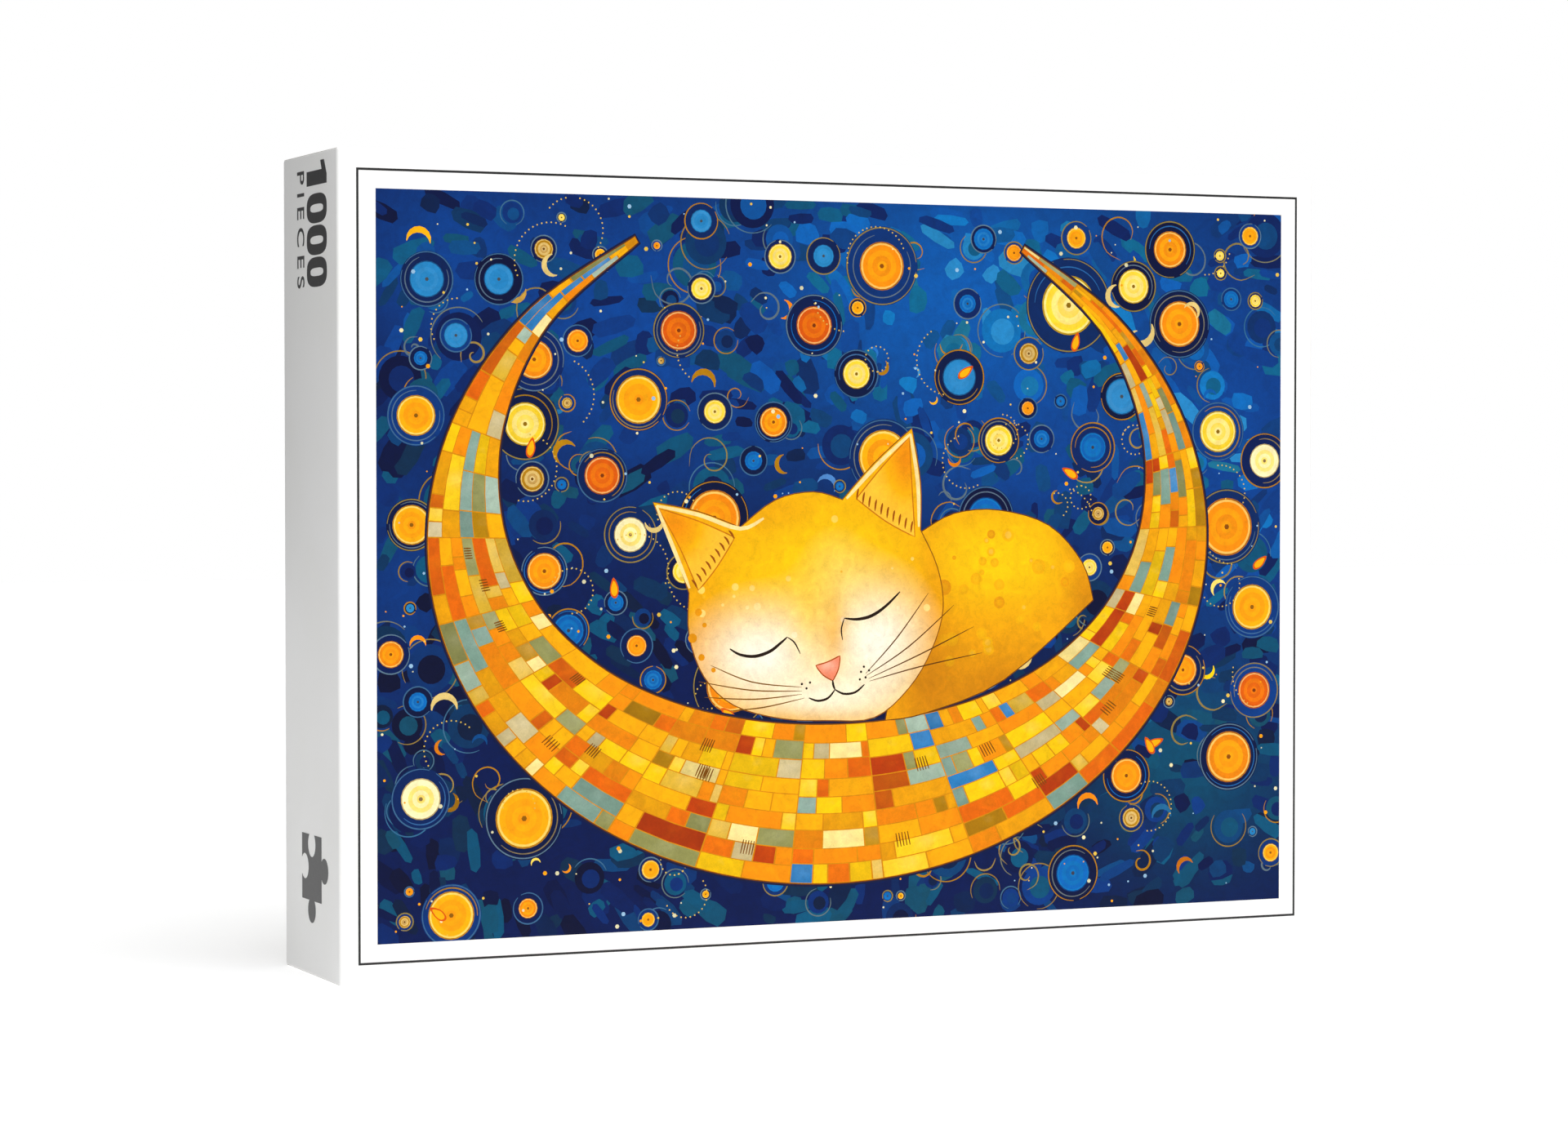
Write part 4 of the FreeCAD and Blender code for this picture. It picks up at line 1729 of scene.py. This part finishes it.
@dataclass
class LidPrint:
    """What is printed on the lid: the painting, its black keyline, and the count on both narrow sides."""

    painting_ink: bpy.types.Material
    black_ink: bpy.types.Material
    frame_inset: float = 6.0
    frame_line: float = 0.7
    painting_inset: float = 12.0
    digit_high: float = 20.4
    digit_pitch: float = 9.6
    digit_from_edge: float = 10.1
    digits_below_top: float = 2.6
    word: str = "PIECES"
    letter_weight: float = 0.09  # how much bolder the letters are than the plain typeface
    letter_space: float = 1.45
    word_high: float = 7.4
    word_long: float = 35.5
    word_from_edge: float = 33.2
    word_below_top: float = 5.0
    emblem_wide: float = 30.0
    emblem_above_bottom: float = 33.0
    low: Vector = field(init=False)
    high: Vector = field(init=False)

    def __post_init__(self) -> None:
        """Takes the lid's outside from the frame."""
        panel, left, right = (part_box(f"lid_wrap_{part}") for part in ("panel", "left", "right"))
        self.low = Vector((left[0].x, panel[0].y, 0))
        self.high = Vector((right[1].x, left[1].y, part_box("lid_wrap_top")[1].z))

    def onto_front(self) -> Matrix:
        """From millimetres on the front, x and z, to the frame."""
        turned = Matrix(((MM, 0, 0, 0), (0, 0, -MM, 0), (0, MM, 0, 0), (0, 0, 0, 1)))
        return Matrix.Translation((0, self.low.y, 0)) @ turned

    def onto_flank(self, flank: Flank) -> Matrix:
        """From millimetres on a narrow side to the frame.

        Its x runs down from the top edge, and its y back towards the edge that the digits' tops face.

        Args:
            flank: the narrow side.

        Returns:
            The matrix.
        """
        side = flank.value
        turned = Matrix(((0, 0, side * MM, 0), (0, side * MM, 0, 0), (-MM, 0, 0, 0), (0, 0, 0, 1)))
        edge_y = self.low.y if flank is Flank.LEFT else self.high.y
        edge_x = self.low.x if flank is Flank.LEFT else self.high.x
        return Matrix.Translation((edge_x, edge_y, self.high.z)) @ turned

    def build(self) -> None:
        """Prints the painting, the keyline and both narrow sides."""
        self.make_painting()
        self.make_keyline()
        for flank in Flank:
            self.make_flank(flank)

    def make_painting(self) -> None:
        """The painting, pressed flat on the front."""
        inset = self.painting_inset
        painting = NightPainting(
            self.low.x / MM + inset, self.high.x / MM - inset, inset, self.high.z / MM - inset
        )
        painting.paint()
        log.info("painting: %d inks", len(painting.inks))
        sheet = PrintedSheet(
            "lid_print_painting", painting.inks, self.onto_front(), painting.ground(), painting.glow_points()
        )
        finish(sheet.make(), self.painting_ink, "lid", angle=10)

    def make_keyline(self) -> None:
        """The thin black line round the painting."""
        inset, proud = self.frame_inset * MM, 0.05 * MM
        low = Vector((self.low.x + inset, self.low.y - proud, inset))
        high = Vector((self.high.x - inset, self.low.y + proud, self.high.z - inset))
        piece = block("lid_print_keyline", low, high)
        with shaping(piece):
            select_faces(piece, lambda face: abs(face.normal.y) > 0.9)
            bpy.ops.mesh.inset(thickness=self.frame_line * MM, use_even_offset=True)
            bpy.ops.mesh.bridge_edge_loops()
        finish(piece, self.black_ink, "lid")

    def count_inks(self) -> list[Ink]:
        """The number 1000 in heavy narrow figures.

        Returns:
            Its inks, the holes of the noughts among them.
        """
        low = -self.digit_from_edge - self.digit_high
        start = self.digits_below_top
        stem = [(3.0, 0), (7.4, 0), (7.4, 20.4), (4.6, 20.4), (0.2, 17.8), (0.2, 14.0), (3.0, 15.4)]
        inks = [Ink([(start + x, low + y) for x, y in stem], "#000000")]
        for n in range(3):
            middle = start + self.digit_pitch * (n + 1.5)
            for wide, high, tone in ((4.5, self.digit_high / 2, "#000000"), (1.25, 6.6, HOLE)):
                inks.append(Ink(self.rounded(middle, low + self.digit_high / 2, wide, high), tone))
        return inks

    def rounded(self, x: float, y: float, wide: float, high: float) -> Outline:
        """A figure's rounded box.

        Args:
            x: its middle's place along the side, in millimetres.
            y: its middle's place across the side.
            wide: half its width.
            high: half its height.

        Returns:
            Its outline.
        """
        line = []
        for n in range(40):
            turn = (math.cos(math.tau * n / 40), math.sin(math.tau * n / 40))
            across, up = (math.copysign(abs(part) ** 0.7, part) for part in turn)
            line.append((x + wide * across, y + high * up))
        return line

    def emblem_inks(self, middle_y: float) -> list[Ink]:
        """A plain puzzle piece: a square with two knobs and two sockets.

        Args:
            middle_y: its middle's place across the narrow side, in millimetres.

        Returns:
            Its inks.
        """
        x, y = self.high.z / MM - self.emblem_above_bottom, middle_y
        half = self.emblem_wide * 0.335
        knob = self.emblem_wide * 0.13
        square = [(x - half, y - half), (x + half, y - half), (x + half, y + half), (x - half, y + half)]
        inks = [Ink(square, "#000000")]
        for dx, dy, tone in ((1, 0, "#000000"), (0, 1, "#000000"), (-1, 0, HOLE), (0, -1, HOLE)):
            reach = half + knob * 0.75 if tone else half - knob * 0.75
            inks.append(Ink(circle(x + dx * reach, y + dy * reach, knob, 32), tone))
            neck = [(0.5, -0.62), (1.9, -0.5), (1.9, 0.5), (0.5, 0.62)]
            root = half - knob * 1.2 if tone else half - knob * 0.6
            steps = [(root + u * knob * 0.9, v * knob) for u, v in neck]
            inks.append(Ink([(x + dx * u - dy * v, y + dy * u + dx * v) for u, v in steps], tone))
        return inks

    def make_flank(self, flank: Flank) -> None:
        """The count, the word under it and the emblem on one narrow side.

        Args:
            flank: the narrow side.
        """
        place = self.onto_flank(flank)
        middle_y = -(self.high.y - self.low.y) / MM / 2
        side = flank.name.lower()
        for name, inks in (("count", self.count_inks()), ("emblem", self.emblem_inks(middle_y))):
            sheet = PrintedSheet(f"lid_print_{name}_{side}", inks, place)
            finish(sheet.make(), self.black_ink, "lid")
        self.make_word(f"lid_print_word_{side}", place)

    def make_word(self, name: str, place: Matrix) -> None:
        """The word, letter-spaced.

        Args:
            name: the piece's name.
            place: from millimetres on the narrow side to the frame.
        """
        bpy.ops.object.select_all(action="DESELECT")
        bpy.ops.object.text_add()
        piece = bpy.context.object
        piece.name = name
        piece.data.body = self.word
        piece.data.size = 10
        piece.data.offset = self.letter_weight
        piece.data.space_character = self.letter_space
        piece.data.extrude = 0.05
        bpy.ops.object.convert(target="MESH")
        with shaping(piece):
            bpy.ops.mesh.select_all(action="SELECT")
            bpy.ops.mesh.remove_doubles(threshold=0.001)
            bpy.ops.mesh.normals_make_consistent(inside=False)
        xs, ys = [v.co.x for v in piece.data.vertices], [v.co.y for v in piece.data.vertices]
        long, high = max(xs) - min(xs), max(ys) - min(ys)
        stretch = Matrix.Diagonal((self.word_long / long, self.word_high / high, 1, 1))
        low = Vector((self.word_below_top, -self.word_from_edge - self.word_high, 0))
        at_origin = Matrix.Translation((-min(xs), -min(ys), 0))
        piece.data.transform(place @ Matrix.Translation(low) @ stretch @ at_origin)
        finish(piece, self.black_ink, "lid")


# ---- the bag and its pieces -----------------------------------------------------------------------------


@dataclass
class FilmBag:
    """The sealed clear bag: two films joined at the sides, tight round the heap and pinched above it."""

    film: bpy.types.Material
    columns: int = 72
    rows: int = 52
    squareness: float = 24.0  # how square the filled bag is at its sides
    pinch_start: float = 196.0 * MM
    pinch_end: float = 209.0 * MM
    fin: float = 0.2 * MM  # half the seal's thickness
    crinkle: float = 0.7 * MM
    fin_wave: float = 1.6 * MM

    def half_depth(self, across: float, z: float, low: Vector, high: Vector) -> float:
        """Half the bag's depth at a place.

        Args:
            across: how far across it is, from -1 to 1.
            z: its height, in metres.
            low: the bag's lowest corner.
            high: its highest corner.

        Returns:
            Half the depth, in metres.
        """
        side = max(0.0, 1 - abs(across) ** self.squareness) ** (1 / self.squareness)
        up = min(1.0, (z - low.z) / (self.pinch_start - low.z))
        foot = max(0.0, 1 - abs(1 - up) ** self.squareness) ** (1 / self.squareness)
        fall = min(max((z - self.pinch_start) / (self.pinch_end - self.pinch_start), 0.0), 1.0)
        top = 1 - fall * fall * (3 - 2 * fall)
        full = (high.y - low.y) / 2 - 0.1 * MM
        return side * foot * (self.fin + (full - self.fin) * top)

    def build(self) -> None:
        """Builds the bag as one closed film."""
        low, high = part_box("bag_film")
        bpy.ops.object.select_all(action="DESELECT")
        bpy.ops.mesh.primitive_grid_add(x_subdivisions=self.columns, y_subdivisions=self.rows, size=2)
        piece = bpy.context.object
        piece.name = "clear_film_bag"
        with shaping(piece):
            bpy.ops.mesh.select_all(action="SELECT")
            bpy.ops.mesh.duplicate()
            bpy.ops.mesh.flip_normals()
            bpy.ops.transform.translate(value=(0, 0, 1))
        middle = (low + high) / 2
        half = (high - low) / 2
        for vertex in piece.data.vertices:
            s, t, back = vertex.co
            across, up = math.sin(s * math.pi / 2), (1 + math.sin(t * math.pi / 2)) / 2
            z = low.z + up * (high.z - low.z)
            deep = self.half_depth(across, z, low, high)
            side = -1 if back < 0.5 else 1
            spot = Vector((across * half.x, side * 0.05, z))
            folds = noise.noise(spot * 55) + 0.6 * abs(noise.noise(spot * 130))
            folds += 0.3 * noise.noise(spot * 300)
            loose = 1 if deep > 2 * MM else 0
            deep -= self.crinkle * loose * min(max(0.45 + folds, 0.0), 1.0)
            fall = min(max((z - self.pinch_start) / (self.pinch_end - self.pinch_start), 0.0), 1.0)
            edge = 1 - abs(across) ** 12
            wave = self.fin_wave * fall * edge * noise.noise(Vector((across * 9, z * 12, 0.5)))
            vertex.co = (middle.x + across * half.x, middle.y + side * deep + wave, z)
        with shaping(piece):
            bpy.ops.mesh.select_all(action="SELECT")
            bpy.ops.mesh.remove_doubles(threshold=0.01 * MM)
            bpy.ops.mesh.normals_make_consistent(inside=False)
        finish(piece, self.film, "bag", ["bag_film"], angle=60)


@dataclass
class LoosePieces:
    """The cut pieces: each has a printed side in the painting's tones and a plain back."""

    card: bpy.types.Material
    attribute: str = "Print"
    facet: float = 26.0  # cut curves are simplified until their facets meet at about this angle
    chance: random.Random = field(default_factory=lambda: random.Random("loose pieces"))

    def nodes(self) -> list[str]:
        """The CAD nodes that hold pieces."""
        return sorted(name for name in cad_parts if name.startswith("puzzle_"))

    def build(self) -> None:
        """Builds and colours each group of pieces."""
        for node in self.nodes():
            piece = cad_copy(node, node.replace("puzzle_", "cut_"))
            with shaping(piece):
                bpy.ops.mesh.select_all(action="SELECT")
                bpy.ops.mesh.dissolve_limited(angle_limit=math.radians(self.facet))
            self.colour_pieces(piece.data)
            finish(piece, self.card, "bag", [node], angle=30)

    def colour_pieces(self, mesh: bpy.types.Mesh) -> None:
        """Gives every piece its picture side, its back and its cut edges.

        Args:
            mesh: the group's mesh, its pieces apart from each other.
        """
        layer = mesh.color_attributes.new(self.attribute, "FLOAT_COLOR", "CORNER")
        shape = bmesh.new()
        shape.from_mesh(mesh)
        tones = (
            [(Night.DEEP, Night.NAVY)] * 5 + [(Night.NAVY, Night.ROYAL)] * 5 + [(Night.ROYAL, Night.SKY)] * 3
            + [(Night.TEAL, Night.MIST)] + [(Gold.AMBER, Gold.ORANGE)] * 4 + [(Gold.LEMON, Gold.AMBER)] * 3
            + [(Gold.ORANGE, Gold.RUST)] * 2 + [(Gold.CREAM, Gold.LEMON)]
        )  # fmt: skip
        seen = set()
        for start in shape.faces:
            if start in seen:
                continue
            seen.add(start)
            group = [start]
            for face in group:
                for edge in face.edges:
                    for other in edge.link_faces:
                        if other not in seen:
                            seen.add(other)
                            group.append(other)
            group.sort(key=lambda face: -face.calc_area())
            first, second = self.chance.choice(tones)
            printed = self.chance.choice((0, 1))
            for rank, face in enumerate(group):
                for loop in face.loops:
                    if rank == printed:
                        swing = 0.5 + 0.5 * noise.noise(loop.vert.co * 140)
                        tone = mixed(first.value, second.value, swing)
                    elif rank < 2:
                        tone = "#8D9AA6"
                    else:
                        tone = "#A39C92"
                    layer.data[loop.index].color = colour(tone)
        shape.free()


# ---- the studio -----------------------------------------------------------------------------------------


@dataclass
class Studio:
    """A white paper floor, soft light from the front and the right, and the camera."""

    floor: bpy.types.Material
    floor_half: float = 4.0
    sky_seen: float = 1.0  # how bright the open background looks
    sky_cast: float = 0.16  # how much light it gives
    key_strength: float = 1.3
    fill_strength: float = 2.25  # the same way as the key, but too broad to cast a shadow
    key_soft: float = 40.0
    key_way: tuple[float, float, float] = (-0.14, 0.45, -0.88)  # the way the light travels
    lens: float = 90.1
    sensor: float = 36.0
    eye: tuple[float, float, float] = (-0.5162, -1.1487, 0.1554)
    azimuth: float = 23.74
    down: float = 1.547

    def build(self) -> None:
        """Builds the floor, the lights and the camera."""
        self.make_floor()
        self.make_light()
        self.make_camera()

    def make_floor(self) -> None:
        """The floor just under the box."""
        bpy.ops.object.select_all(action="DESELECT")
        bpy.ops.mesh.primitive_plane_add(size=2 * self.floor_half, location=(0, 0, -0.05 * MM))
        piece = bpy.context.object
        piece.name = "studio_floor"
        piece.data.materials.append(self.floor)

    def make_light(self) -> None:
        """A broad key light from the front, and the pale room round it."""
        lights = (("key_light", self.key_strength, True), ("fill_light", self.fill_strength, False))
        for name, strength, shadow in lights:
            lamp = bpy.data.lights.new(name, "SUN")
            lamp.energy = strength
            lamp.angle = math.radians(self.key_soft)
            lamp.use_shadow = shadow
            light = bpy.data.objects.new(name, lamp)
            bpy.context.scene.collection.objects.link(light)
            light.rotation_euler = Vector(self.key_way).to_track_quat("-Z", "Y").to_euler()
        world = bpy.data.worlds.new("pale_room")
        bpy.context.scene.world = world
        world.use_nodes = True
        tree = world.node_tree
        room = tree.nodes["Background"]
        seen = add_node(tree, "ShaderNodeLightPath").outputs["Is Camera Ray"]
        strength = add_node(
            tree, "ShaderNodeMapRange", {"Value": seen, "To Min": self.sky_cast, "To Max": self.sky_seen}
        )
        room.inputs["Color"].default_value = (1, 1, 1, 1)
        tree.links.new(strength.outputs[0], room.inputs["Strength"])
        bpy.context.scene.view_settings.view_transform = "Standard"

    def make_camera(self) -> None:
        """The camera, low and from the left."""
        data = bpy.data.cameras.new("camera")
        data.lens = self.lens
        data.sensor_width = self.sensor
        data.clip_start = 0.05
        data.clip_end = 50
        camera = bpy.data.objects.new("camera", data)
        bpy.context.scene.collection.objects.link(camera)
        camera.location = self.eye
        camera.rotation_euler = (math.radians(90 - self.down), 0, math.radians(-self.azimuth))
        bpy.context.scene.camera = camera


# ---- build ----------------------------------------------------------------------------------------------


def main() -> None:
    """Builds the whole object and the studio round it."""
    logging.basicConfig(level=logging.INFO, format="%(name)s: %(message)s")
    Studio(StudioPaper().material()).build()
    board, tape = Greyboard().material(), KraftTape().material()
    BoardBox("tray", Mouth.FRONT, PlainPaper().material(), "plain_wrap_paper", board, tape).build()
    BoardBox("lid", Mouth.BACK, LaminatedPaper().material(), "printed_wrap_paper", board, tape).build()
    LidPrint(PaintedPrint().material(), PrintInk("black_offset_ink", "#1B1B1C", "#2A2A2B").material()).build()
    LoosePieces(CutPuzzleBoard().material()).build()
    FilmBag(ClearFilm().material()).build()


if __name__ == "__main__":
    main()
